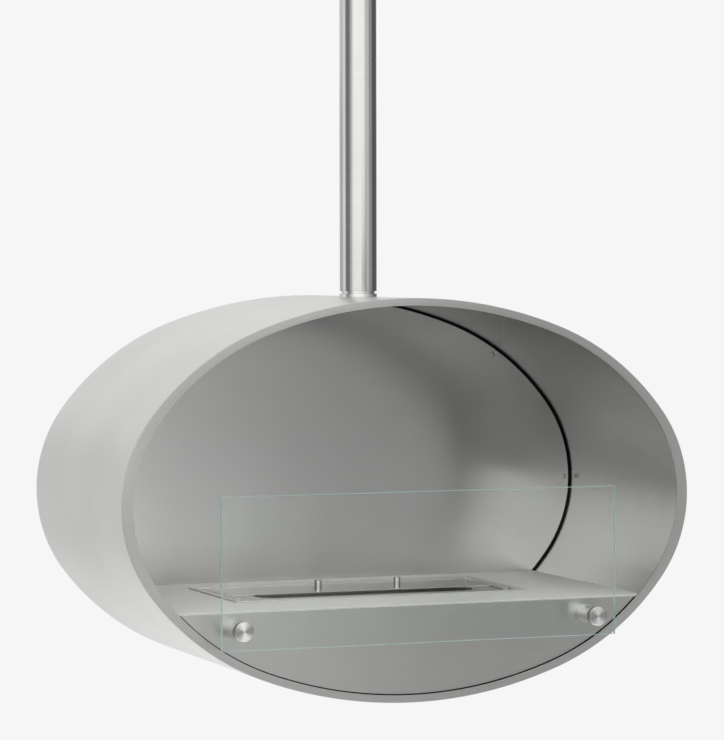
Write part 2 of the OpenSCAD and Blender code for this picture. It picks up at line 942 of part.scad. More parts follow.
// Right-hand shelf bracket: a level leg and a leg rolled to the shell's wall
module right_bracket() {
    inner_x = shelf_half_w - bracket_w;
    difference() {
        upright(bracket_front_y, bracket_back_y)
            intersection() {
                oval(shell_radii, fitted_inset);
                union() {
                    translate([inner_x, bracket_bottom_z])
                        square([half_w - inner_x, bracket_t]);
                    difference() {
                        translate([inner_x, shelf_bottom_z - bracket_h])
                            square([half_w - inner_x, bracket_h]);
                        oval(shell_radii, fitted_inset + bracket_t);
                    }
                }
            }
        at_shelf_studs()
            translate([0, 0, bracket_bottom_z - cut])
                cylinder(d = screw_d + bolt_hole_gap, h = bracket_t + 2 * cut);
    }
}

module left_shelf_bracket() {
    color("gray")
        in_body()
            mirror([1, 0, 0])
                right_bracket();
}

module right_shelf_bracket() {
    color("gray")
        in_body()
            right_bracket();
}

module shelf_nuts() {
    color("dimgray")
        in_body()
            at_shelf_studs()
                translate([0, 0, bracket_bottom_z - shelf_nut_h])
                    nut(screw_d, screw_flats, shelf_nut_h);
}

// Flat outline with rounded corners, centred on X and rising from Y = 0
module rounded_pane(w, h, r) {
    translate([-w / 2 + r, 0])
        square([w - 2 * r, h]);
    translate([-w / 2, r])
        square([w, h - 2 * r]);
    for (side = [-1, 1])
        for (y = [r, h - r])
            translate([side * (w / 2 - r), y])
                circle(r = r);
}

module glass_screen() {
    color("azure", 0.3)
        in_body()
            difference() {
                translate([0, 0, -glass_foot_drop])
                    upright(glass_y, glass_back_y)
                        rounded_pane(glass_w, glass_h, glass_corner_r);
                at_standoffs()
                    rod_y(glass_hole_d, glass_y - cut, glass_back_y + cut);
            }
}

// Soft rings on both faces of the glass
module glass_gaskets() {
    color("silver")
        in_body()
            at_standoffs()
                for (y = [glass_y - gasket_t, glass_back_y])
                    difference() {
                        rod_y(gasket_d, y, y + gasket_t);
                        rod_y(standoff_bore_d, y - cut, y + gasket_t + cut);
                    }
}

module standoff_barrels() {
    color("silver")
        in_body()
            at_standoffs()
                difference() {
                    rod_y(standoff_d, glass_back_y + gasket_t, apron_y);
                    rod_y(standoff_bore_d, glass_back_y, apron_y + cut);
                }
}

// Cap with a chamfered face and a blind thread
module standoff_caps() {
    color("silver")
        in_body()
            at_standoffs()
                translate([0, cap_y, 0])
                    rotate([-90, 0, 0])
                        difference() {
                            union() {
                                cylinder(d1 = standoff_d - 2 * cap_chamfer, d2 = standoff_d,
                                         h = cap_chamfer);
                                translate([0, 0, cap_chamfer])
                                    cylinder(d = standoff_d, h = cap_t - cap_chamfer);
                            }
                            translate([0, 0, cap_t - cap_bore])
                                cylinder(d = standoff_bore_d, h = cap_bore + cut);
                        }
}

module standoff_studs() {
    front_end_y = cap_y + cap_end + thread_end;
    back_end_y = apron_back_y + bolt_nut_h + bolt_end;
    color("dimgray")
        in_body()
            at_standoffs()
                rod_y(bolt_d, front_end_y, back_end_y);
}

// Flanged nuts behind the apron
module standoff_nuts() {
    color("dimgray")
        in_body()
            at_standoffs()
                translate([0, apron_back_y, 0])
                    rotate([-90, 0, 0])
                        difference() {
                            union() {
                                cylinder(d = nut_flange_d, h = nut_flange_h);
                                hexagon(bolt_flats, bolt_nut_h);
                            }
                            translate([0, 0, -cut])
                                cylinder(d = standoff_bore_d, h = bolt_nut_h + 2 * cut);
                        }
}

// Tray with its raised frame, turned-down lip and the ledges that carry the deck
module burner_tray() {
    ledge_x = recess_w / 2 - ledge_w;
    color("silver")
        in_body() {
            difference() {
                union() {
                    plate_between(tray_w, tray_d, burner_y, tray_bottom_z, frame_top_z);
                    plate_between(frame_w, frame_d, burner_y, frame_top_z - tray_t, frame_top_z);
                    difference() {
                        plate_between(frame_w, frame_d, burner_y, shelf_z + burner_seat_gap, frame_top_z);
                        plate_between(frame_w - 2 * tray_t, frame_d - 2 * tray_t, burner_y,
                                      shelf_z, frame_top_z - tray_t / 2);
                    }
                }
                plate_between(recess_w, recess_d, burner_y, tray_bottom_z + tray_t, frame_top_z + cut);
            }
            for (side = [-1, 1])
                translate([side * (ledge_x + ledge_w / 2), 0, 0])
                    plate_between(ledge_w, recess_d, burner_y, deck_bottom_z - tray_t, deck_bottom_z);
        }
}

module ceramic_pad() {
    color("ivory")
        in_body()
            plate_between(recess_w - 2 * pad_gap, recess_d - 2 * pad_gap, burner_y,
                          tray_bottom_z + tray_t, tray_bottom_z + tray_t + pad_t);
}

// Deck with one long slot, its ends round
module burner_deck() {
    end_x = slot_w / 2 - slot_d / 2;
    color("silver")
        in_body()
            difference() {
                plate_between(recess_w - 2 * deck_gap, recess_d - 2 * deck_gap, burner_y,
                              deck_bottom_z, deck_z);
                translate([0, 0, deck_bottom_z - cut]) {
                    translate([-end_x, slot_front_y, 0])
                        cube([2 * end_x, slot_d, deck_t + 2 * cut]);
                    for (side = [-1, 1])
                        translate([side * end_x, slot_mid_y, 0])
                            cylinder(d = slot_d, h = deck_t + 2 * cut);
                }
            }
}

// Right-hand rail: a wall beside the lid, a lip over it and a stop at each end
module right_rail() {
    length = rail_back_y - rail_front_y;
    lap_x = rail_in_x - rail_gap - rail_lap;
    translate([rail_in_x, rail_front_y, deck_z])
        cube([rail_w, length, rail_shoulder_z - deck_z]);
    translate([lap_x, rail_front_y, rail_shoulder_z])
        cube([rail_lap + rail_gap + rail_w, length, rail_lip_t]);
    for (y = [rail_front_y, rail_back_y - rail_end])
        translate([lap_x, y, deck_z])
            cube([rail_lap + rail_gap + rail_w, rail_end, rail_shoulder_z - deck_z]);
}

module lid_rails() {
    color("silver")
        in_body() {
            right_rail();
            mirror([1, 0, 0])
                right_rail();
        }
}

// Sliding lid with countersunk holes for the knob screws
module burner_lid() {
    color("silver")
        in_body()
            difference() {
                translate([-lid_w / 2, lid_front_y, lid_bottom_z])
                    cube([lid_w, lid_d, lid_t]);
                at_knobs() {
                    translate([0, 0, lid_bottom_z - cut])
                        cylinder(d = small_screw_d + 2 * seat_gap, h = lid_t + 2 * cut);
                    translate([0, 0, lid_bottom_z])
                        knob_screw_head(seat_gap);
                    translate([0, 0, lid_bottom_z - cut])
                        cylinder(d = knob_screw_head_d + 2 * seat_gap, h = cut);
                }
            }
}

// Cone of the countersunk head, widened by a gap
module knob_screw_head(gap) {
    cylinder(d1 = knob_screw_head_d + 2 * gap, d2 = small_screw_d + 2 * gap, h = knob_screw_head_h);
}

// Turned knob: a short neck, a plain pin and a chamfered top, drawn as half its section
module lid_knobs() {
    knob_r = knob_d / 2;
    bore_r = small_screw_d / 2 + seat_gap;
    color("whitesmoke")
        in_body()
            at_knobs()
                translate([0, 0, lid_top_z])
                    rotate_extrude()
                        polygon([
                            [bore_r, 0],
                            [knob_r - knob_neck_step, 0],
                            [knob_r - knob_neck_step, knob_neck_h],
                            [knob_r, knob_neck_h],
                            [knob_r, knob_h - knob_chamfer],
                            [knob_r - knob_chamfer, knob_h],
                            [0, knob_h],
                            [0, knob_thread],
                            [bore_r, knob_thread]
                        ]);
}

module knob_screws() {
    color("dimgray")
        in_body()
            at_knobs()
                difference() {
                    translate([0, 0, lid_bottom_z]) {
                        knob_screw_head(0);
                        cylinder(d = small_screw_d, h = lid_t + knob_thread - thread_end);
                    }
                    translate([0, 0, lid_bottom_z - cut])
                        hexagon(socket_ratio * small_screw_d, cut + knob_screw_head_h / 2);
                }
}

ceiling_plate();
pole();
pole_bolts();
pole_nuts();
canopy();
canopy_grub_screw();
pole_foot();
swivel_nut();
thrust_washer();
bearing_bush();
collar();
saddle_plate();
saddle_screws();
shell();
front_rim();
rear_flange();
rear_cover();
rear_cover_screws();
panel_posts();
back_panel();
panel_screws();
shelf();
left_shelf_bracket();
right_shelf_bracket();
shelf_nuts();
glass_screen();
glass_gaskets();
standoff_barrels();
standoff_caps();
standoff_studs();
standoff_nuts();
burner_tray();
ceramic_pad();
burner_deck();
lid_rails();
burner_lid();
lid_knobs();
knob_screws();
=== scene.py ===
import json
import math

import bpy
from mathutils import Euler, Matrix, Vector

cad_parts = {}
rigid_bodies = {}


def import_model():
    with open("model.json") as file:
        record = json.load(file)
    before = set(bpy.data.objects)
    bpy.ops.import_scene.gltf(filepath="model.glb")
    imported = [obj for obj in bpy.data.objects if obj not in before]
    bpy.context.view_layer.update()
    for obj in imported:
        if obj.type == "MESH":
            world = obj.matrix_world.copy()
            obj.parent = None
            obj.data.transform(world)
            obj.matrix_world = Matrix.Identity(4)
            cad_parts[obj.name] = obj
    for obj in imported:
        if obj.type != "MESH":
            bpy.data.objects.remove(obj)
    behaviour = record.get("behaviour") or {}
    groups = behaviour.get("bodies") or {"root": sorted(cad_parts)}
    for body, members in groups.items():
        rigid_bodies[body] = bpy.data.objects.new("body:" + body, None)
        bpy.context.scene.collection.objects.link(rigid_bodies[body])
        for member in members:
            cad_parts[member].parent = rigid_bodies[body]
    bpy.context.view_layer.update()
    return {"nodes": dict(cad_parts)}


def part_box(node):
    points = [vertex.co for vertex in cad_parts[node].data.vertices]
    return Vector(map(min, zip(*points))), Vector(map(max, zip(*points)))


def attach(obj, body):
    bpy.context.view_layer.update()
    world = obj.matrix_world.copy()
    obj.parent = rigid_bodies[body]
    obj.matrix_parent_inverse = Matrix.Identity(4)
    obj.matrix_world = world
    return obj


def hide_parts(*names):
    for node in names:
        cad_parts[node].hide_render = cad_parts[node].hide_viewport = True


for thing in list(bpy.data.objects):
    bpy.data.objects.remove(thing)

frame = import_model()
nodes = frame["nodes"]
mm = 0.001
mergeDistance = 0.01 * mm
nearDepth = 0.1 * mm  # how near to a depth or an edge counts as on it
print("frame loaded:", len(nodes), "nodes")


# modelling helpers

def deselectAll():
    if bpy.context.mode != "OBJECT":
        bpy.ops.object.mode_set(mode="OBJECT")
    bpy.ops.object.select_all(action="DESELECT")


def makeActive(piece):
    deselectAll()
    piece.select_set(True)
    bpy.context.view_layer.objects.active = piece


# One loose vertex at a place, left in edit mode and selected
def startPoint(name, place):
    deselectAll()
    bpy.ops.mesh.primitive_plane_add(size=mm)
    piece = bpy.context.object
    piece.name = name
    bpy.ops.object.mode_set(mode="EDIT")
    bpy.ops.mesh.select_mode(type="VERT")
    bpy.ops.mesh.merge(type="CENTER")
    bpy.ops.transform.translate(value=place)
    return piece


# Carries the selected vertices on by a step, as a drawn line goes on
def drawBy(step):
    bpy.ops.mesh.extrude_region_move(TRANSFORM_OT_translate={"value": step})


# Carries the selected vertices on round an arc, anticlockwise seen against the axis
def swing(centre, degrees, axis, stepDegrees):
    steps = max(1, round(abs(degrees) / stepDegrees))
    bpy.ops.mesh.spin(steps=steps, angle=math.radians(degrees), center=centre, axis=axis)


def selectWhole(how="VERT"):
    bpy.ops.object.mode_set(mode="EDIT")
    bpy.ops.mesh.select_mode(type=how)
    bpy.ops.mesh.select_all(action="SELECT")


def selectEdges(piece, wanted):
    bpy.ops.object.mode_set(mode="EDIT")
    bpy.ops.mesh.select_mode(type="EDGE")
    bpy.ops.mesh.select_all(action="DESELECT")
    bpy.ops.object.mode_set(mode="OBJECT")
    points = piece.data.vertices
    for edge in piece.data.edges:
        a, b = (points[i].co for i in edge.vertices)
        edge.select = wanted(a, b)
    bpy.ops.object.mode_set(mode="EDIT")


def mergeDoubles():
    selectWhole()
    bpy.ops.mesh.remove_doubles(threshold=mergeDistance)
    bpy.ops.mesh.normals_make_consistent(inside=False)


# Adds a modifier with its settings and applies it
def applyModifier(piece, kind, **settings):
    makeActive(piece)
    modifier = piece.modifiers.new(kind.lower(), kind)
    for key, value in settings.items():
        setattr(modifier, key, value)
    bpy.ops.object.modifier_apply(modifier=modifier.name)


def roundEdges(piece, width, segments=2, degrees=35):
    applyModifier(piece, "BEVEL", width=width, segments=segments, limit_method="ANGLE",
                  angle_limit=math.radians(degrees), use_clamp_overlap=True)


# Rounds only the sharp edges that lie at one depth
def roundEdgesAt(piece, y, width, segments=2, degrees=35):
    makeActive(piece)
    selectEdges(piece, lambda a, b: False)
    bpy.ops.mesh.edges_select_sharp(sharpness=math.radians(degrees))
    bpy.ops.object.mode_set(mode="OBJECT")
    points = piece.data.vertices
    chosen = {edge.index for edge in piece.data.edges
              if edge.select and all(abs(points[i].co.y - y) < nearDepth for i in edge.vertices)}
    bpy.ops.object.mode_set(mode="EDIT")
    bpy.ops.mesh.select_all(action="DESELECT")
    bpy.ops.object.mode_set(mode="OBJECT")
    for edge in piece.data.edges:
        edge.select = edge.index in chosen
    bpy.ops.object.mode_set(mode="EDIT")
    bpy.ops.mesh.bevel(offset=width, segments=segments, affect="EDGES")
    bpy.ops.object.mode_set(mode="OBJECT")


# Smooth shading in which the large faces keep their own direction beside the small bevels
def smoothShade(piece, degrees=30):
    makeActive(piece)
    bpy.ops.object.shade_smooth_by_angle(angle=math.radians(degrees))
    applyModifier(piece, "WEIGHTED_NORMAL", keep_sharp=True)


# Joins loose pieces into the first one
def joinPieces(pieces):
    makeActive(pieces[0])
    for piece in pieces[1:]:
        piece.select_set(True)
    bpy.ops.object.join()
    return pieces[0]


# A block between two corners, with its place in its mesh
def block(name, low, high):
    deselectAll()
    low, high = Vector(low), Vector(high)
    bpy.ops.mesh.primitive_cube_add(size=1, location=(low + high) / 2, scale=high - low)
    piece = bpy.context.object
    piece.name = name
    bpy.ops.object.transform_apply()
    return piece


# A turned piece: a profile of (radius, height) points spun round an axis through a centre
def turned(name, profile, centre, along, steps=96):
    centre, along = Vector(centre), Vector(along).normalized()
    out = along.orthogonal().normalized()
    path = [centre + out * radius + along * height for radius, height in profile]
    piece = startPoint(name, path[0])
    for here, there in zip(path, path[1:]):
        drawBy(there - here)
    selectWhole()
    bpy.ops.mesh.spin(steps=steps, angle=2 * math.pi, center=centre, axis=along)
    mergeDoubles()
    bpy.ops.object.mode_set(mode="OBJECT")
    return piece


# Cuts or keeps by another piece, which is used up
def carve(piece, tool, operation="DIFFERENCE"):
    applyModifier(piece, "BOOLEAN", object=tool, operation=operation, solver="EXACT")
    bpy.data.objects.remove(tool)


# Hands a finished piece over: it rides on a body, replaces its node and takes its slot's finish
def handOver(piece, body, node, material):
    deselectAll()
    piece.data.materials.clear()
    piece.data.materials.append(material)
    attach(piece, body)
    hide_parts(node)


# the oval of eight tangent arcs

oval = {
    "endDirection": (0.8, 0.6),           # where an end arc meets a shoulder arc
    "shoulderDirection": (0.352, 0.936),  # where a shoulder arc meets the top arc
    "shellRadii": (0.234, 0.431, 0.739),
    "rimRadii": (0.228, 0.409, 0.717),
    "stepDegrees": 1.5,
}
shellLow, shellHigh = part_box("shell")
rimLow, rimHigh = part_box("front_rim")
midZ = (shellLow.z + shellHigh.z) / 2
endTurn = math.degrees(math.atan2(oval["endDirection"][1], oval["endDirection"][0]))
shoulderTurn = math.degrees(math.atan2(oval["shoulderDirection"][1],
                                       oval["shoulderDirection"][0]))


# Centres of the end, shoulder and top arcs in the first quadrant, as (across, up)
def ovalCentres(radii):
    endR, shoulderR, topR = radii
    endStep = [(shoulderR - endR) * part for part in oval["endDirection"]]
    shoulderStep = [(topR - shoulderR) * part for part in oval["shoulderDirection"]]
    return [(endStep[0] + shoulderStep[0], 0.0),
            (shoulderStep[0], -endStep[1]),
            (0.0, -endStep[1] - shoulderStep[1])]


# Draws the closed outline of an oval at depth y, arc by arc from its right end
def traceOval(name, radii, inset, y):
    (endX, _), (shoulderX, shoulderZ), (_, topZ) = ovalCentres(radii)
    piece = startPoint(name, (endX + radii[0] - inset, y, midZ))
    turnShoulder = shoulderTurn - endTurn
    turnTop = 180 - 2 * shoulderTurn
    arcs = [
        (endX, 0, endTurn), (shoulderX, shoulderZ, turnShoulder), (0, topZ, turnTop),
        (-shoulderX, shoulderZ, turnShoulder), (-endX, 0, 2 * endTurn),
        (-shoulderX, -shoulderZ, turnShoulder), (0, -topZ, turnTop),
        (shoulderX, -shoulderZ, turnShoulder), (endX, 0, endTurn),
    ]
    for x, z, turn in arcs:
        swing((x, y, midZ + z), turn, (0, 1, 0), oval["stepDegrees"])
    selectWhole()
    bpy.ops.mesh.remove_doubles(threshold=mergeDistance)
    return piece


# An oval plate between two depths
def ovalPlate(name, radii, inset, y0, y1):
    piece = traceOval(name, radii, inset, y0)
    bpy.ops.mesh.edge_face_add()
    drawBy((0, y1 - y0, 0))
    mergeDoubles()
    bpy.ops.object.mode_set(mode="OBJECT")
    return piece


# An oval ring between two outlines and two depths
def ovalRing(name, outer, inner, y0, y1):
    ring = traceOval(name, *outer, y0)
    hole = traceOval(name + "Hole", *inner, y0)
    bpy.ops.object.mode_set(mode="OBJECT")
    ring = joinPieces([ring, hole])
    selectWhole("EDGE")
    bpy.ops.mesh.bridge_edge_loops()
    selectWhole("FACE")
    drawBy((0, y1 - y0, 0))
    mergeDoubles()
    bpy.ops.object.mode_set(mode="OBJECT")
    return ring


# materials

def newMaterial(name):
    material = bpy.data.materials.new(name)
    material.use_nodes = True
    tree = material.node_tree
    shader = tree.nodes["Principled BSDF"]
    return material, tree, shader


def addNode(tree, kind, **settings):
    node = tree.nodes.new(kind)
    for key, value in settings.items():
        if key in node.inputs:
            node.inputs[key].default_value = value
        else:
            setattr(node, key, value)
    return node


# Coordinates of the piece stretched by a scale, from its object space or its own UV map
def grainSpace(tree, scale, source="Object"):
    place = addNode(tree, "ShaderNodeTexCoord")
    stretch = addNode(tree, "ShaderNodeMapping", Scale=scale)
    tree.links.new(place.outputs[source], stretch.inputs["Vector"])
    return stretch.outputs["Vector"]


def greyRamp(tree, factor, low, high, start=0.3, end=0.7):
    ramp = addNode(tree, "ShaderNodeMapRange")
    ramp.inputs["From Min"].default_value = start
    ramp.inputs["From Max"].default_value = end
    ramp.inputs["To Min"].default_value = low
    ramp.inputs["To Max"].default_value = high
    tree.links.new(factor, ramp.inputs["Value"])
    return ramp.outputs["Result"]


# Lays of the brushing: the scale of its grain, and its line or the direction across it
brushing = {
    "X": {"scale": (5, 900, 900), "line": (1, 0.03, 0.02)},
    "Y": {"scale": (900, 5, 900), "line": (0.03, 1, 0.02)},
    "Z": {"scale": (900, 900, 5), "line": (0.02, 0.03, 1)},
    "UV": {"scale": (5, 900, 1), "across": (0.03, 1, 0.02)},
    "roundY": {"scale": (20, 900, 20), "across": (0.03, 1, 0.02)},
    "roundZ": {"scale": (20, 20, 900), "across": (0.02, 0.03, 1)},
}


# Draws the shine out across the grain
def drawOutShine(tree, shader, amount, lay):
    world = addNode(tree, "ShaderNodeVectorTransform", vector_type="VECTOR",
                    convert_from="OBJECT", convert_to="WORLD")
    tangent = world.outputs["Vector"]
    if "across" in lay:
        world.inputs["Vector"].default_value = lay["across"]
    else:
        world.inputs["Vector"].default_value = lay["line"]
        surface = addNode(tree, "ShaderNodeNewGeometry")
        cross = addNode(tree, "ShaderNodeVectorMath", operation="CROSS_PRODUCT")
        tree.links.new(surface.outputs["Normal"], cross.inputs[0])
        tree.links.new(tangent, cross.inputs[1])
        tangent = cross.outputs["Vector"]
    tree.links.new(tangent, shader.inputs["Tangent"])
    shader.inputs["Anisotropic"].default_value = amount


# Brushed steel: fine streaks along one direction over soft, cloudy patches
def brushedSteel(name, tone, roughness, lay="X", streak=0.05, cloud=0.03, bump=0.06,
                 stretch=0.6, metal=1.0):
    material, tree, shader = newMaterial(name)
    source = "UV" if lay == "UV" else "Object"
    fine = addNode(tree, "ShaderNodeTexNoise", Scale=1, Detail=3, Roughness=0.6)
    tree.links.new(grainSpace(tree, brushing[lay]["scale"], source), fine.inputs["Vector"])
    broad = addNode(tree, "ShaderNodeTexNoise", Scale=5, Detail=2)
    tree.links.new(grainSpace(tree, (1, 1, 1)), broad.inputs["Vector"])
    streaks = greyRamp(tree, fine.outputs["Fac"], 1 - streak, 1 + streak)
    clouds = greyRamp(tree, broad.outputs["Fac"], 1 - cloud, 1 + cloud)
    both = addNode(tree, "ShaderNodeMath", operation="MULTIPLY")
    tree.links.new(streaks, both.inputs[0])
    tree.links.new(clouds, both.inputs[1])
    colour = addNode(tree, "ShaderNodeVectorMath", operation="SCALE")
    colour.inputs[0].default_value = tone
    tree.links.new(both.outputs[0], colour.inputs["Scale"])
    tree.links.new(colour.outputs["Vector"], shader.inputs["Base Color"])
    half = streak / 2
    tree.links.new(greyRamp(tree, fine.outputs["Fac"], roughness - half, roughness + half),
                   shader.inputs["Roughness"])
    shader.inputs["Metallic"].default_value = metal
    drawOutShine(tree, shader, stretch, brushing[lay])
    relief = addNode(tree, "ShaderNodeBump", Strength=bump, Distance=0.1 * mm)
    tree.links.new(fine.outputs["Fac"], relief.inputs["Height"])
    tree.links.new(relief.outputs["Normal"], shader.inputs["Normal"])
    return material


# Painted highlight: lighter above and below the middle and darker beside it, as the shine on a
# turned face looks
def paintedBowTie(tree, outward, paintedWedge):
    unit = addNode(tree, "ShaderNodeVectorMath", operation="NORMALIZE")
    tree.links.new(outward, unit.inputs[0])
    parts = addNode(tree, "ShaderNodeSeparateXYZ")
    tree.links.new(unit.outputs["Vector"], parts.inputs["Vector"])
    square = addNode(tree, "ShaderNodeMath", operation="MULTIPLY")
    tree.links.new(parts.outputs["Z"], square.inputs[0])
    tree.links.new(parts.outputs["Z"], square.inputs[1])
    return greyRamp(tree, square.outputs[0], 1 - paintedWedge, 1 + paintedWedge, start=0.1, end=1.0)


# Turned steel: rings round an axis through a centre given without signs, so that left and right
# copies share it. A stretch draws the shine out across the rings, and weights make them oval.
def turnedSteel(name, tone, roughness, centre, axis, pitch=0.4 * mm, bump=0.3, stretch=0.0,
                weights=(1, 1, 1), paintedWedge=0.0):
    material, tree, shader = newMaterial(name)
    place = addNode(tree, "ShaderNodeTexCoord")
    size = addNode(tree, "ShaderNodeVectorMath", operation="ABSOLUTE")
    tree.links.new(place.outputs["Object"], size.inputs[0])
    shift = addNode(tree, "ShaderNodeMapping", Location=[-c for c in centre])
    tree.links.new(size.outputs["Vector"], shift.inputs["Vector"])
    flat = addNode(tree, "ShaderNodeVectorMath", operation="MULTIPLY")
    flat.inputs[1].default_value = [0 if letter == axis else weight
                                    for letter, weight in zip("XYZ", weights)]
    tree.links.new(shift.outputs["Vector"], flat.inputs[0])
    distance = addNode(tree, "ShaderNodeVectorMath", operation="LENGTH")
    tree.links.new(flat.outputs["Vector"], distance.inputs[0])
    rings = addNode(tree, "ShaderNodeTexNoise", noise_dimensions="1D", Scale=1 / pitch, Detail=2)
    tree.links.new(distance.outputs["Value"], rings.inputs["W"])
    colour = addNode(tree, "ShaderNodeVectorMath", operation="SCALE")
    colour.inputs[0].default_value = tone
    shade = addNode(tree, "ShaderNodeMath", operation="MULTIPLY")
    tree.links.new(greyRamp(tree, rings.outputs["Fac"], 0.93, 1.05), shade.inputs[0])
    # the rings' colour is multiplied by the painted bow-tie highlight
    tree.links.new(paintedBowTie(tree, flat.outputs["Vector"], paintedWedge), shade.inputs[1])
    tree.links.new(shade.outputs[0], colour.inputs["Scale"])
    tree.links.new(colour.outputs["Vector"], shader.inputs["Base Color"])
    tree.links.new(greyRamp(tree, rings.outputs["Fac"], roughness - 0.05, roughness + 0.05),
                   shader.inputs["Roughness"])
    shader.inputs["Metallic"].default_value = 1
    relief = addNode(tree, "ShaderNodeBump", Strength=bump, Distance=0.05 * mm)
    tree.links.new(rings.outputs["Fac"], relief.inputs["Height"])
    tree.links.new(relief.outputs["Normal"], shader.inputs["Normal"])
    if stretch:
        side = addNode(tree, "ShaderNodeVectorMath", operation="SIGN")
        tree.links.new(place.outputs["Object"], side.inputs[0])
        steep = addNode(tree, "ShaderNodeVectorMath", operation="MULTIPLY")
        steep.inputs[1].default_value = weights
        tree.links.new(flat.outputs["Vector"], steep.inputs[0])
        outward = addNode(tree, "ShaderNodeVectorMath", operation="MULTIPLY")
        tree.links.new(steep.outputs["Vector"], outward.inputs[0])
        tree.links.new(side.outputs["Vector"], outward.inputs[1])
        unit = addNode(tree, "ShaderNodeVectorMath", operation="NORMALIZE")
        tree.links.new(outward.outputs["Vector"], unit.inputs[0])
        along = addNode(tree, "ShaderNodeVectorMath", operation="ADD")
        along.inputs[1].default_value = [0.05 if letter == axis else 0 for letter in "XYZ"]
        tree.links.new(unit.outputs["Vector"], along.inputs[0])
        world = addNode(tree, "ShaderNodeVectorTransform", vector_type="VECTOR",
                        convert_from="OBJECT", convert_to="WORLD")
        tree.links.new(along.outputs["Vector"], world.inputs["Vector"])
        tree.links.new(world.outputs["Vector"], shader.inputs["Tangent"])
        shader.inputs["Anisotropic"].default_value = stretch
    return material


# Matt or painted surface with a fine even texture
def plainCoat(name, tone, roughness, metal=0.0, texture=600, bump=0.1, spread=0.06):
    material, tree, shader = newMaterial(name)
    speckle = addNode(tree, "ShaderNodeTexNoise", Scale=texture, Detail=3)
    tree.links.new(grainSpace(tree, (1, 1, 1)), speckle.inputs["Vector"])
    colour = addNode(tree, "ShaderNodeVectorMath", operation="SCALE")
    colour.inputs[0].default_value = tone
    tree.links.new(greyRamp(tree, speckle.outputs["Fac"], 1 - spread, 1 + spread),
                   colour.inputs["Scale"])
    tree.links.new(colour.outputs["Vector"], shader.inputs["Base Color"])
    tree.links.new(greyRamp(tree, speckle.outputs["Fac"], roughness - 0.05, roughness + 0.05),
                   shader.inputs["Roughness"])
    shader.inputs["Metallic"].default_value = metal
    relief = addNode(tree, "ShaderNodeBump", Strength=bump, Distance=0.2 * mm)
    tree.links.new(speckle.outputs["Fac"], relief.inputs["Height"])
    tree.links.new(relief.outputs["Normal"], shader.inputs["Normal"])
    return material


# Glass that lets light and mirrored rays straight through, with a faint unevenness in its gloss
def clearGlass(name, tint, roughness, ior, clear=1.0, spread=0.01):
    material, tree, shader = newMaterial(name)
    shader.inputs["Base Color"].default_value = tint
    shader.inputs["IOR"].default_value = ior
    shader.inputs["Transmission Weight"].default_value = clear
    haze = addNode(tree, "ShaderNodeTexNoise", Scale=120, Detail=2)
    tree.links.new(grainSpace(tree, (1, 1, 1)), haze.inputs["Vector"])
    tree.links.new(greyRamp(tree, haze.outputs["Fac"], roughness, roughness + spread),
                   shader.inputs["Roughness"])
    path = addNode(tree, "ShaderNodeLightPath")
    mirrored = addNode(tree, "ShaderNodeMath", operation="SUBTRACT")
    tree.links.new(path.outputs["Is Glossy Ray"], mirrored.inputs[0])
    tree.links.new(path.outputs["Is Transmission Ray"], mirrored.inputs[1])
    passed = addNode(tree, "ShaderNodeMath", operation="MAXIMUM")
    tree.links.new(path.outputs["Is Shadow Ray"], passed.inputs[0])
    tree.links.new(mirrored.outputs[0], passed.inputs[1])
    through = addNode(tree, "ShaderNodeBsdfTransparent", Color=tint)
    mix = addNode(tree, "ShaderNodeMixShader")
    tree.links.new(passed.outputs[0], mix.inputs["Fac"])
    tree.links.new(shader.outputs["BSDF"], mix.inputs[1])
    tree.links.new(through.outputs["BSDF"], mix.inputs[2])
    tree.links.new(mix.outputs["Shader"], tree.nodes["Material Output"].inputs["Surface"])
    return material


capLow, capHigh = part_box("standoff_caps")
capRadius = (capHigh.z - capLow.z) / 2
capCentre = (capHigh.x - capRadius, 0, -(capLow.z + capHigh.z) / 2)
knobLow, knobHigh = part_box("lid_knobs")
knobRadius = (knobHigh.y - knobLow.y) / 2
knobCentre = (knobHigh.x - knobRadius, (knobLow.y + knobHigh.y) / 2, 0)
rimWeights = (1 / rimHigh.x, 1, 1 / (rimHigh.z - midZ))

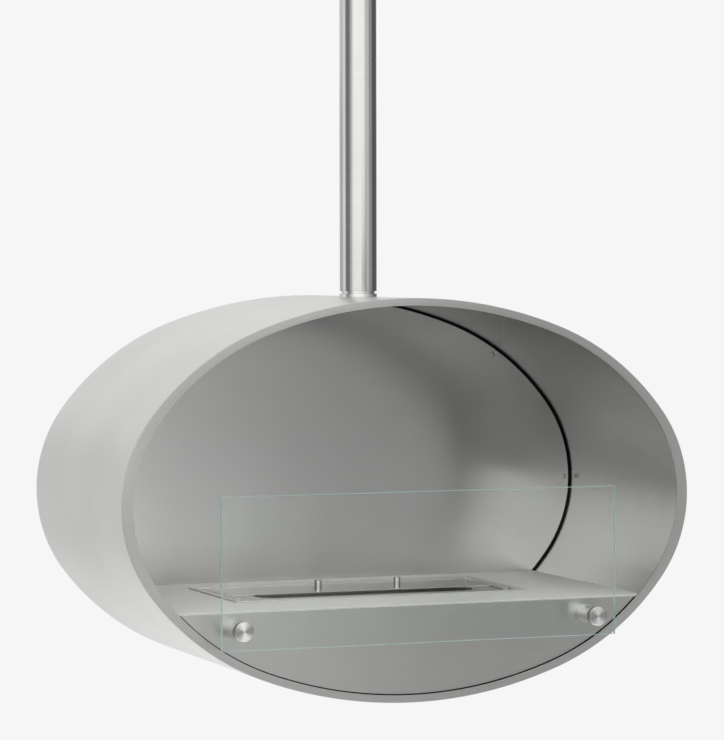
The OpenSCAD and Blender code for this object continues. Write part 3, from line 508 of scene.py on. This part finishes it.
finish = {
    "shell": brushedSteel("shellSteel", (0.68, 0.68, 0.67), 0.36, "UV"),
    "rim": turnedSteel("rimSteel", (0.47, 0.47, 0.46), 0.30, (0, 0, -midZ), "Y", pitch=0.8 * mm,
                       bump=0.1, stretch=0.7, weights=rimWeights),
    # painted shade: the shell's inner faces get a darker tone than its outer ones
    "inside": brushedSteel("shadedInsideSteel", (0.46, 0.46, 0.45), 0.24, "UV", streak=0.03, bump=0.02,
                           stretch=0.2),
    "panel": brushedSteel("panelSteel", (0.56, 0.56, 0.55), 0.26, "X", streak=0.018, bump=0.01,
                          stretch=0.3),
    # painted light: the shelf's top is pale and partly matt so that it shows brighter
    "shelf": brushedSteel("litShelfSteel", (0.96, 0.96, 0.94), 0.46, "X", stretch=0.3, metal=0.3),
    # painted shade: the apron, a face of the same sheet, gets a darker tone
    "apron": brushedSteel("shadedApronSteel", (0.44, 0.44, 0.43), 0.32, "X", streak=0.03, bump=0.02,
                          stretch=0.3),
    "pole": brushedSteel("poleSteel", (0.51, 0.51, 0.50), 0.19, "roundZ", streak=0.03),
    "burner": brushedSteel("burnerSteel", (0.68, 0.67, 0.64), 0.32, "X"),
    "deck": brushedSteel("deckSteel", (0.62, 0.61, 0.58), 0.34, "X"),
    "collar": turnedSteel("collarSteel", (0.66, 0.66, 0.65), 0.26, (0, 0, 0), "Z"),
    "canopy": turnedSteel("canopySteel", (0.70, 0.70, 0.69), 0.26, (0, 0, 0), "Z"),
    "bolt": brushedSteel("boltSteel", (0.5, 0.5, 0.49), 0.3, "Z", streak=0.03),
    "knob": turnedSteel("knobSteel", (0.78, 0.78, 0.77), 0.26, knobCentre, "Z", bump=0.1),
    "black": plainCoat("blackCoat", (0.02, 0.02, 0.021), 0.5, texture=900),
    # dark primer on the saddle plate; on the rear flange it is painted shade for the back panel's
    # gap
    "primerAndGapShade": plainCoat("darkPrimerAndGapShade", (0.03, 0.03, 0.031), 0.6),
    "bronze": plainCoat("bronze", (0.50, 0.32, 0.14), 0.35, metal=1.0, bump=0.04),
    "rubber": plainCoat("clearSilicone", (0.60, 0.60, 0.59), 0.4),
    "ceramic": plainCoat("ceramicBoard", (0.78, 0.76, 0.72), 0.9, texture=250, bump=0.5),
    # the caps carry a painted bow-tie highlight on their turned faces
    "cap": turnedSteel("capSteel", (0.58, 0.58, 0.57), 0.34, capCentre, "Y", stretch=0.9,
                       paintedWedge=0.4),
    "barrel": brushedSteel("barrelSteel", (0.82, 0.82, 0.81), 0.24, "roundY", streak=0.03),
    "glass": clearGlass("paneGlass", (0.985, 0.995, 0.99, 1), 0.0, 1.2),
    "glassEdge": clearGlass("edgeGlass", (0.38, 0.56, 0.50, 1), 0.35, 1.45, clear=0.35,
                            spread=0.1),
}
print("materials made:", len(finish))


# shell

shell = {"sheet": 2 * mm, "lipRound": 0.4 * mm, "endFace": 0.5}


# Distance along the shell's outline for a point, so that the grain runs round it
def outlineLength(x, z):
    centres = ovalCentres(oval["shellRadii"])
    endR, shoulderR, topR = oval["shellRadii"]
    ax, az = abs(x), abs(z)
    turn = math.atan2(az - centres[1][1], ax - centres[1][0])
    firstTurn, secondTurn = math.radians(endTurn), math.radians(shoulderTurn)
    endLength = endR * firstTurn
    shoulderLength = shoulderR * (secondTurn - firstTurn)
    if turn < firstTurn:
        run = endR * math.atan2(az, ax - centres[0][0])
    elif turn < secondTurn:
        run = endLength + shoulderR * (turn - firstTurn)
    else:
        topTurn = math.atan2(az - centres[2][1], ax)
        run = endLength + shoulderLength + topR * (topTurn - secondTurn)
    quarter = endLength + shoulderLength + topR * (math.pi / 2 - secondTurn)
    if x < 0:
        run = 2 * quarter - run
    return run if z >= 0 else -run


def makeShell():
    piece = traceOval("shellSheet", oval["shellRadii"], 0, shellLow.y)
    drawBy((0, shellHigh.y - shellLow.y, 0))
    bpy.ops.mesh.select_all(action="SELECT")
    bpy.ops.mesh.normals_make_consistent(inside=False)
    bpy.ops.object.mode_set(mode="OBJECT")
    applyModifier(piece, "SOLIDIFY", thickness=shell["sheet"], offset=-1, use_even_offset=True)
    roundEdgesAt(piece, shellHigh.y, shell["lipRound"])
    layer = piece.data.uv_layers.new(name="grain")
    for corner in piece.data.loops:
        point = piece.data.vertices[corner.vertex_index].co
        layer.data[corner.index].uv = (outlineLength(point.x, point.z - midZ), point.y)
    smoothShade(piece)
    return piece


# The shell's inner side is painted darker than its outer side: painted shade inside the hollow
def finishShell(piece):
    handOver(piece, "hearth", "shell", finish["shell"])
    piece.data.materials.append(finish["inside"])
    for face in piece.data.polygons:
        inward = face.normal.x * face.center.x + face.normal.z * (face.center.z - midZ) < 0
        face.material_index = 1 if inward and abs(face.normal.y) < shell["endFace"] else 0


finishShell(makeShell())


# front rim

rim = {"round": 0.5 * mm}


def makeRim():
    piece = ovalRing("frontRim", (oval["shellRadii"], 0), (oval["rimRadii"], 0),
                     rimLow.y, rimHigh.y)
    roundEdgesAt(piece, rimLow.y, rim["round"])
    smoothShade(piece)
    return piece


handOver(makeRim(), "hearth", "front_rim", finish["rim"])
print("shell and rim made")


# back panel and rear cover

back = {"panelInset": 6 * mm, "coverInset": 2.75 * mm, "edgeRound": 0.4 * mm}


def makeBackPlate(name, node, inset):
    low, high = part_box(node)
    piece = ovalPlate(name, oval["shellRadii"], inset, low.y, high.y)
    roundEdges(piece, back["edgeRound"])
    smoothShade(piece)
    return piece


handOver(makeBackPlate("backPanel", "back_panel", back["panelInset"]), "hearth", "back_panel",
         finish["panel"])
handOver(makeBackPlate("rearCover", "rear_cover", back["coverInset"]), "hearth", "rear_cover",
         finish["panel"])


# shelf with its apron

shelf = {
    "sheet": 2 * mm,
    "foldRadius": 3 * mm,
    "apronGap": 1.75 * mm,
    "wasteSpare": 0.5 * mm,
    "foldStep": 10,  # degrees
    "cutoutGap": 1.6 * mm,
    "padToTraySide": 3.5 * mm,  # from the pad's edge to the outside of the tray's pan
    "studSide": 30 * mm,
    "studEnd": 55 * mm,
    "studRadius": 2.5 * mm,
    "studLength": 11 * mm,
    "studSteps": 24,
    "apronFace": 0.7,  # how squarely a face must look forward or back
}


# Cuts the apron's foot to the rim's oval, a small gap inside it
def trimApron(piece, low, high):
    fold = shelf["foldRadius"]
    waste = block("apronWaste", (low.x - fold, low.y - fold, low.z - 2 * fold),
                  (high.x + fold, low.y + shelf["sheet"] + shelf["wasteSpare"], high.z - fold))
    kept = ovalPlate("apronOutline", oval["rimRadii"], shelf["apronGap"],
                     low.y - 2 * fold, low.y + 2 * fold)
    carve(waste, kept)
    carve(piece, waste)


def makeShelf():
    low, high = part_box("shelf")
    fold = shelf["foldRadius"]
    piece = startPoint("shelfSheet", (low.x, high.y, high.z))
    drawBy((0, low.y + fold - high.y, 0))
    swing((0, low.y + fold, high.z - fold), 90, (-1, 0, 0), shelf["foldStep"])
    drawBy((0, 0, low.z - high.z))
    selectWhole()
    drawBy((high.x - low.x, 0, 0))
    mergeDoubles()
    bpy.ops.object.mode_set(mode="OBJECT")
    applyModifier(piece, "SOLIDIFY", thickness=shelf["sheet"], offset=-1, use_even_offset=True)
    trimApron(piece, low, high)
    padLow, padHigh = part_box("ceramic_pad")
    wall = shelf["padToTraySide"] + shelf["cutoutGap"]
    carve(piece, block("trayCutout",
                       (padLow.x - wall, padLow.y - wall, high.z - 2 * shelf["sheet"]),
                       (padHigh.x + wall, padHigh.y + wall, high.z + shelf["sheet"])))
    smoothShade(piece)
    studs = []
    for x in (low.x + shelf["studSide"], high.x - shelf["studSide"]):
        for y in (low.y + shelf["studEnd"], high.y - shelf["studEnd"]):
            foot = (x, y, high.z - shelf["sheet"] - shelf["studLength"])
            r, length = shelf["studRadius"], shelf["studLength"] + shelf["sheet"] / 2
            studs.append(turned("stud", [(0, 0), (r, 0), (r, length), (0, length)],
                                foot, (0, 0, 1), shelf["studSteps"]))
    for stud in studs:
        smoothShade(stud)
    return joinPieces([piece] + studs)


# The apron is painted darker than the shelf's top: painted shade on the apron, painted light on
# the top
def finishShelf(piece):
    handOver(piece, "hearth", "shelf", finish["shelf"])
    piece.data.materials.append(finish["apron"])
    for face in piece.data.polygons:
        face.material_index = 1 if abs(face.normal.y) > shelf["apronFace"] else 0


finishShelf(makeShelf())
print("shelf made")


# glass screen and its stand-offs

glass = {
    "cornerRadius": 2 * mm,
    "cornerSteps": 6,
    "arris": 0.6 * mm,
    "holeRadius": 7 * mm,
    "holeSteps": 48,
    "drillLength": 20 * mm,
    "drillStart": 5 * mm,  # in front of the pane
    "faceFront": 0.9,      # how squarely a face must look forward or back
}
standoff = {
    "capChamfer": 1 * mm,
    "boreRadius": 4.05 * mm,
    "edgeRound": 0.25 * mm,
    "steps": 72,
}


# Centres of the two stand-offs, taken from the caps' box
def standoffPlaces():
    low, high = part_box("standoff_caps")
    radius = (high.z - low.z) / 2
    z = (low.z + high.z) / 2
    return [(low.x + radius, z), (high.x - radius, z)], radius


def makeGlass():
    low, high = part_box("glass_screen")
    piece = block("glassPane", low, high)
    selectEdges(piece, lambda a, b: abs(a.y - b.y) > 3 * mm)
    bpy.ops.mesh.bevel(offset=glass["cornerRadius"], segments=glass["cornerSteps"], affect="EDGES")
    bpy.ops.object.mode_set(mode="OBJECT")
    places, _ = standoffPlaces()
    for x, z in places:
        r, length = glass["holeRadius"], glass["drillLength"]
        drill = turned("drill", [(0, 0), (r, 0), (r, length), (0, length)],
                       (x, low.y - glass["drillStart"], z), (0, 1, 0), glass["holeSteps"])
        carve(piece, drill)
    roundEdges(piece, glass["arris"], segments=1)
    smoothShade(piece)
    return piece


# The ground edges are greener and less clear than the two faces
def finishGlass(piece):
    handOver(piece, "hearth", "glass_screen", finish["glass"])
    piece.data.materials.append(finish["glassEdge"])
    for face in piece.data.polygons:
        face.material_index = 0 if abs(face.normal.y) > glass["faceFront"] else 1


finishGlass(makeGlass())


def makeStandoffs(node, name, profileOf, material):
    low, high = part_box(node)
    places, radius = standoffPlaces()
    parts = []
    for x, z in places:
        profile = profileOf(radius, high.y - low.y)
        part = turned(name, profile, (x, low.y, z), (0, 1, 0), standoff["steps"])
        roundEdges(part, standoff["edgeRound"])
        smoothShade(part)
        parts.append(part)
    handOver(joinPieces(parts), "hearth", node, material)


def capProfile(radius, length):
    chamfer = standoff["capChamfer"]
    return [(0, 0), (radius - chamfer, 0), (radius, chamfer), (radius, length), (0, length)]


def barrelProfile(radius, length):
    bore = standoff["boreRadius"]
    return [(bore, 0), (radius, 0), (radius, length), (bore, length), (bore, 0)]


makeStandoffs("standoff_caps", "standoffCaps", capProfile, finish["cap"])
makeStandoffs("standoff_barrels", "standoffBarrels", barrelProfile, finish["barrel"])
print("glass and stand-offs made")


# burner tray, deck and lid

burner = {
    "sheet": 1.5 * mm,
    "strip": 12 * mm,
    "foldRadius": 0.7 * mm,
    "lip": 2.3 * mm,
    "ledge": 10 * mm,
    "slotDepth": 70 * mm,
    "slotFront": 42.2 * mm,
    "slotSide": 52.2 * mm,
    "slotStep": 5,          # degrees
    "slotSpare": 5 * mm,    # by which the cutter stands out below and above
    "padGap": 2 * mm,       # between the pad and the pan's sides
    "deckRound": 0.3 * mm,
    "lidRound": 0.4 * mm,
}


# Tray folded from one sheet: raised frame, turned-down lip and the deep pan
def makeTray():
    low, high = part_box("burner_tray")
    middle = (low + high) / 2
    deselectAll()
    bpy.ops.mesh.primitive_plane_add(size=1, location=(middle.x, middle.y, high.z))
    piece = bpy.context.object
    piece.name = "burnerTray"
    piece.scale = (high.x - low.x, high.y - low.y, 1)
    bpy.ops.object.transform_apply()
    selectWhole("FACE")
    bpy.ops.mesh.inset(thickness=burner["strip"])
    drawBy((0, 0, low.z + burner["sheet"] - high.z))
    edgeX, edgeY = high.x - nearDepth, high.y - nearDepth
    selectEdges(piece, lambda a, b: min(a.z, b.z) > high.z - mm
                and (min(abs(a.x), abs(b.x)) > edgeX
                     or min(a.y, b.y) > edgeY or max(a.y, b.y) < low.y + nearDepth))
    drawBy((0, 0, -burner["lip"]))
    mergeDoubles()
    bpy.ops.object.mode_set(mode="OBJECT")
    return piece


def makeTraySolid():
    piece = makeTray()
    applyModifier(piece, "SOLIDIFY", thickness=burner["sheet"], offset=1, use_even_offset=True)
    roundEdges(piece, burner["foldRadius"], segments=3, degrees=60)
    mergeDoubles()
    bpy.ops.object.mode_set(mode="OBJECT")
    smoothShade(piece)
    deckLow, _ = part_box("burner_deck")
    padLow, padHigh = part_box("ceramic_pad")
    innerX = padHigh.x + burner["padGap"]
    ledges = []
    for side in (-1, 1):
        nearX, farX = sorted((side * (innerX - burner["ledge"]), side * innerX))
        ledges.append(block("ledge",
                            (nearX, padLow.y - burner["padGap"], deckLow.z - burner["sheet"]),
                            (farX, padHigh.y + burner["padGap"], deckLow.z)))
    return joinPieces([piece] + ledges)


handOver(makeTraySolid(), "burner", "burner_tray", finish["burner"])


# Prism of the round-ended slot
def slotTool(low, high):
    front = low.y + burner["slotFront"]
    radius = burner["slotDepth"] / 2
    endX = high.x - burner["slotSide"] - radius
    bottom = low.z - burner["slotSpare"]
    piece = startPoint("slotTool", (-endX, front, bottom))
    drawBy((2 * endX, 0, 0))
    swing((endX, front + radius, bottom), 180, (0, 0, -1), burner["slotStep"])
    drawBy((-2 * endX, 0, 0))
    swing((-endX, front + radius, bottom), 180, (0, 0, -1), burner["slotStep"])
    selectWhole()
    bpy.ops.mesh.remove_doubles(threshold=mergeDistance)
    bpy.ops.mesh.edge_face_add()
    drawBy((0, 0, high.z - low.z + 2 * burner["slotSpare"]))
    mergeDoubles()
    bpy.ops.object.mode_set(mode="OBJECT")
    return piece


def makeDeck():
    low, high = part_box("burner_deck")
    piece = block("burnerDeck", low, high)
    carve(piece, slotTool(low, high))
    roundEdges(piece, burner["deckRound"])
    smoothShade(piece)
    return piece


handOver(makeDeck(), "burner", "burner_deck", finish["deck"])


def makeLid():
    low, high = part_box("burner_lid")
    piece = block("burnerLid", low, high)
    roundEdges(piece, burner["lidRound"])
    smoothShade(piece)
    return piece


handOver(makeLid(), "lid", "burner_lid", finish["deck"])


# lid knobs

knob = {
    "neckDepth": 0.5 * mm,
    "neckHeight": 1.2 * mm,
    "topChamfer": 0.8 * mm,
    "edgeRound": 0.1 * mm,
    "steps": 48,
}


def makeKnobs():
    low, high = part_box("lid_knobs")
    radius = (high.y - low.y) / 2
    height = high.z - low.z
    neck = radius - knob["neckDepth"]
    chamfer = knob["topChamfer"]
    profile = [(0, 0), (neck, 0), (neck, knob["neckHeight"]), (radius, knob["neckHeight"]),
               (radius, height - chamfer), (radius - chamfer, height), (0, height)]
    parts = []
    for x in (low.x + radius, high.x - radius):
        middle = (x, (low.y + high.y) / 2, low.z)
        part = turned("lidKnobs", profile, middle, (0, 0, 1), knob["steps"])
        roundEdges(part, knob["edgeRound"])
        smoothShade(part)
        parts.append(part)
    return joinPieces(parts)


handOver(makeKnobs(), "lid", "lid_knobs", finish["knob"])
print("burner made")


# pole, collar and canopy

pole = {"wall": 2 * mm, "edgeRound": 0.4 * mm, "steps": 128}
collar = {"bushGap": 0.05 * mm, "footSpare": 5 * mm, "edgeRound": 0.4 * mm, "steps": 128}
canopy = {
    "wall": 1.5 * mm,
    "corner": 10 * mm,
    "cornerSteps": 8,
    "poleGap": 0.5 * mm,
    "hubHeight": 12 * mm,
    "hubWall": 8 * mm,
    "edgeRound": 0.4 * mm,
    "steps": 128,
}


def makePole():
    low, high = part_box("pole")
    radius = (high.x - low.x) / 2
    inner = radius - pole["wall"]
    length = high.z - low.z
    profile = [(inner, 0), (radius, 0), (radius, length), (inner, length), (inner, 0)]
    piece = turned("poleTube", profile, (0, 0, low.z), (0, 0, 1), pole["steps"])
    roundEdges(piece, pole["edgeRound"])
    smoothShade(piece)
    return piece


handOver(makePole(), "ceiling", "pole", finish["pole"])


# The collar stands on the shell, so its foot is cut to the oval
def makeCollar():
    low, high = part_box("collar")
    bushLow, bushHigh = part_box("bearing_bush")
    radius = (high.x - low.x) / 2
    bore = (bushHigh.x - bushLow.x) / 2 + collar["bushGap"]
    foot = low.z - collar["footSpare"]
    length = high.z - foot
    profile = [(bore, 0), (radius, 0), (radius, length), (bore, length), (bore, 0)]
    piece = turned("collarRing", profile, (0, 0, foot), (0, 0, 1), collar["steps"])
    carve(piece, ovalPlate("shellCore", oval["shellRadii"], 0, -2 * radius, 2 * radius))
    roundEdges(piece, collar["edgeRound"], degrees=60)
    smoothShade(piece)
    return piece


handOver(makeCollar(), "hearth", "collar", finish["collar"])


# Points of a rounded corner in a profile, as (radius, height)
def cornerPoints(centre, radius, fromDegrees, toDegrees):
    count = canopy["cornerSteps"]
    points = []
    for i in range(count + 1):
        turn = math.radians(fromDegrees + (toDegrees - fromDegrees) * i / count)
        points.append((centre[0] + radius * math.cos(turn),
                       centre[1] + radius * math.sin(turn)))
    return points


def makeCanopy():
    low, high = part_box("canopy")
    _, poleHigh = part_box("pole")
    outer = (high.x - low.x) / 2
    bore = poleHigh.x + canopy["poleGap"]
    hub = bore + canopy["hubWall"]
    height = high.z - low.z
    floor = canopy["hubHeight"]
    wall, corner = canopy["wall"], canopy["corner"]
    profile = [(bore, 0), (hub, 0), (hub, floor)]
    profile += cornerPoints((outer - corner, floor + corner), corner, -90, 0)
    profile += [(outer, height), (outer - wall, height)]
    profile += cornerPoints((outer - corner, floor + corner), corner - wall, 0, -90)
    profile += [(bore, floor + wall), (bore, 0)]
    piece = turned("canopyBowl", profile, (0, 0, low.z), (0, 0, 1), canopy["steps"])
    roundEdges(piece, canopy["edgeRound"], degrees=60)
    smoothShade(piece)
    return piece


handOver(makeCanopy(), "canopy", "canopy", finish["canopy"])
print("pole, collar and canopy made")


# finishes of the CAD nodes that stay as they are

nodeFinish = {
    "black": ["ceiling_plate"],
    # the rear flange is painted dark so that the gap round the back panel shows as painted shade
    "primerAndGapShade": ["saddle_plate", "rear_flange"],
    "bronze": ["thrust_washer", "bearing_bush"],
    "rubber": ["glass_gaskets"],
    "ceramic": ["ceramic_pad"],
    "collar": ["pole_foot"],
    "bolt": ["pole_bolts", "pole_nuts", "canopy_grub_screw", "swivel_nut", "saddle_screws",
             "rear_cover_screws", "panel_screws", "shelf_nuts", "standoff_studs", "standoff_nuts",
             "knob_screws"],
    "panel": ["panel_posts", "left_shelf_bracket", "right_shelf_bracket"],
    "deck": ["lid_rails"],
}
for name, members in nodeFinish.items():
    for node in members:
        nodes[node].material_slots[0].material = finish[name]
print("finishes given to the plain nodes")


# stage, light and camera

stage = {
    "floorZ": -2.45,
    "floorSize": 6.0,
    "floorTone": 0.82,
    "backgroundTone": 0.922,
    "lightTone": 1.0,
}


# Makes the floor clear from below, so that it hides nothing from a low camera
def clearFromBelow(material):
    tree = material.node_tree
    output = tree.nodes["Material Output"].inputs["Surface"]
    surface = output.links[0].from_socket
    side = addNode(tree, "ShaderNodeNewGeometry")
    clear = addNode(tree, "ShaderNodeBsdfTransparent")
    mix = addNode(tree, "ShaderNodeMixShader")
    tree.links.new(side.outputs["Backfacing"], mix.inputs[0])
    tree.links.new(surface, mix.inputs[1])
    tree.links.new(clear.outputs["BSDF"], mix.inputs[2])
    tree.links.new(mix.outputs["Shader"], output)
    return material


def makeFloor():
    deselectAll()
    bpy.ops.mesh.primitive_plane_add(size=stage["floorSize"], location=(0, 0, stage["floorZ"]))
    floor = bpy.context.object
    floor.name = "floor"
    bpy.ops.object.transform_apply()
    tone = stage["floorTone"]
    paint = plainCoat("floorPaint", (tone, tone, tone), 0.8, texture=40, spread=0.01)
    floor.data.materials.append(clearFromBelow(paint))
    floor.visible_glossy = False


makeFloor()


# Pale to the camera, in gloss and through glass; softer as light
def makeWorld():
    world = bpy.data.worlds.new("studio")
    bpy.context.scene.world = world
    world.use_nodes = True
    tree = world.node_tree
    pale = tree.nodes["Background"]
    tone = stage["backgroundTone"]
    pale.inputs["Color"].default_value = (tone, tone, tone, 1)
    light = stage["lightTone"]
    soft = addNode(tree, "ShaderNodeBackground", Color=(light, light, light, 1))
    path = addNode(tree, "ShaderNodeLightPath")
    seen = addNode(tree, "ShaderNodeMath", operation="MAXIMUM")
    either = addNode(tree, "ShaderNodeMath", operation="MAXIMUM")
    mix = addNode(tree, "ShaderNodeMixShader")
    tree.links.new(path.outputs["Is Camera Ray"], seen.inputs[0])
    tree.links.new(path.outputs["Is Glossy Ray"], seen.inputs[1])
    tree.links.new(seen.outputs[0], either.inputs[0])
    tree.links.new(path.outputs["Is Transmission Ray"], either.inputs[1])
    tree.links.new(either.outputs[0], mix.inputs["Fac"])
    tree.links.new(soft.outputs["Background"], mix.inputs[1])
    tree.links.new(pale.outputs["Background"], mix.inputs[2])
    tree.links.new(mix.outputs["Shader"], tree.nodes["World Output"].inputs["Surface"])


makeWorld()

# Soft boxes and grey cards that the steel mirrors: two corners and a level each. The levels
# were fitted so that the steel's greys in the main view come near the photograph's.
softBoxes = {
    "frontTop": ((-3, -2.6, -0.025), (1, -2.6, 1.4), 2.40),
    "frontHigh": ((-3, -2.6, -0.975), (1, -2.6, -0.025), 1.58),
    "frontHighRight": ((1, -2.6, -0.975), (3, -2.6, 1.4), 0.95),
    "frontMidLeft": ((-3, -2.6, -1.45), (0, -2.6, -0.975), 1.52),
    "frontMidStrip": ((0, -2.6, -1.45), (0.5, -2.6, -0.975), 0.25),
    "frontMidDark": ((0.5, -2.6, -1.45), (1.5, -2.6, -0.975), 0.03),
    "frontMidRight": ((1.5, -2.6, -1.45), (3, -2.6, -0.975), 0.73),
    "frontLowLeft": ((-3, -2.6, -2.4), (0, -2.6, -1.45), 0.48),
    "frontLowStrip": ((0, -2.6, -1.925), (0.5, -2.6, -1.45), 1.76),
    "frontFootStrip": ((0, -2.6, -2.4), (0.5, -2.6, -1.925), 0.62),
    "frontLowMiddle": ((0.5, -2.6, -2.4), (1, -2.6, -1.45), 0.81),
    "frontLowDark": ((1, -2.6, -2.4), (1.5, -2.6, -1.45), 0.30),
    "frontLowRight": ((1.5, -2.6, -2.4), (3, -2.6, -1.45), 0.80),
    "leftFront": ((-3, -2.6, -2.4), (-3, -1.733, 1.4), 1.35),
    "leftNear": ((-3, -1.733, -2.4), (-3, -0.867, 1.4), 0.72),
    "leftMiddle": ((-3, -0.867, -2.4), (-3, 0.867, 1.4), 0.28),
    "leftBack": ((-3, 0.867, -2.4), (-3, 2.6, 1.4), 1.21),
    "rightFront": ((3, -2.6, -2.4), (3, -0.867, 1.4), 0.48),
    "rightBack": ((3, -0.867, -2.4), (3, 2.6, 1.4), 0.16),
    "backLow": ((-3, 2.6, -2.4), (3, 2.6, -0.5), 0.69),
    "top": ((-3, -2.6, 1.4), (3, 2.6, 1.4), 0.88),
    "footDark": ((-3, -2.6, -2.4), (1, -1.733, -2.4), 0.03),
    "footRight": ((1, -2.6, -2.4), (3, -1.733, -2.4), 0.57),
    "footMiddle": ((-3, -1.733, -2.4), (3, 0.867, -2.4), 1.35),
    "footBack": ((-3, 0.867, -2.4), (3, 2.6, -2.4), 0.77),
}
lampBoxes = ("frontTop", "frontHigh")  # these two also light what isn't steel


def softLight(name, level):
    material = bpy.data.materials.new(name)
    material.use_nodes = True
    tree = material.node_tree
    glow = addNode(tree, "ShaderNodeEmission", Strength=level)
    tree.links.new(glow.outputs["Emission"], tree.nodes["Material Output"].inputs["Surface"])
    return material


def addSoftBox(name, low, high, level):
    low, high = Vector(low), Vector(high)
    size = high - low
    quarter = math.pi / 2
    if size.x == 0:
        width, height, turn = size.y, size.z, (quarter, 0, quarter)
    elif size.y == 0:
        width, height, turn = size.x, size.z, (quarter, 0, 0)
    else:
        width, height, turn = size.x, size.y, (0, 0, 0)
    deselectAll()
    bpy.ops.mesh.primitive_plane_add(size=1, location=(low + high) / 2, rotation=turn)
    box = bpy.context.object
    box.name = name
    box.scale = (width, height, 1)
    bpy.ops.object.transform_apply()
    box.data.materials.append(softLight(name + "Light", level))
    box.visible_camera = False
    box.visible_diffuse = name in lampBoxes
    box.visible_transmission = False
    box.visible_shadow = False


for name, values in softBoxes.items():
    addSoftBox(name, *values)


# camera, fitted to the two ovals in the photograph

camera = {
    "place": (-2.00745, -5.19404, -0.93724),
    "yaw": 21.1942,      # towards +X from +Y
    "pitch": -1.9383,    # below the horizon
    "roll": -0.0814,
    "focalPixels": 3255.09,
    "framePixels": 740,  # the longer side of the 724 by 740 frame
    "sensorWidth": 36,
    "clipEnd": 50,
}


def makeCamera():
    lens = bpy.data.cameras.new("camera")
    lens.sensor_width = camera["sensorWidth"]
    lens.lens = camera["focalPixels"] / camera["framePixels"] * lens.sensor_width
    lens.clip_end = camera["clipEnd"]
    eye = bpy.data.objects.new("camera", lens)
    bpy.context.scene.collection.objects.link(eye)
    eye.location = camera["place"]
    aim = Euler((math.radians(90 + camera["pitch"]), 0, math.radians(-camera["yaw"]))).to_matrix()
    eye.rotation_euler = (aim @ Matrix.Rotation(math.radians(camera["roll"]), 3, "Z")).to_euler()
    bpy.context.scene.camera = eye


makeCamera()
bpy.context.scene.view_settings.view_transform = "Standard"
print("stage, light and camera set")
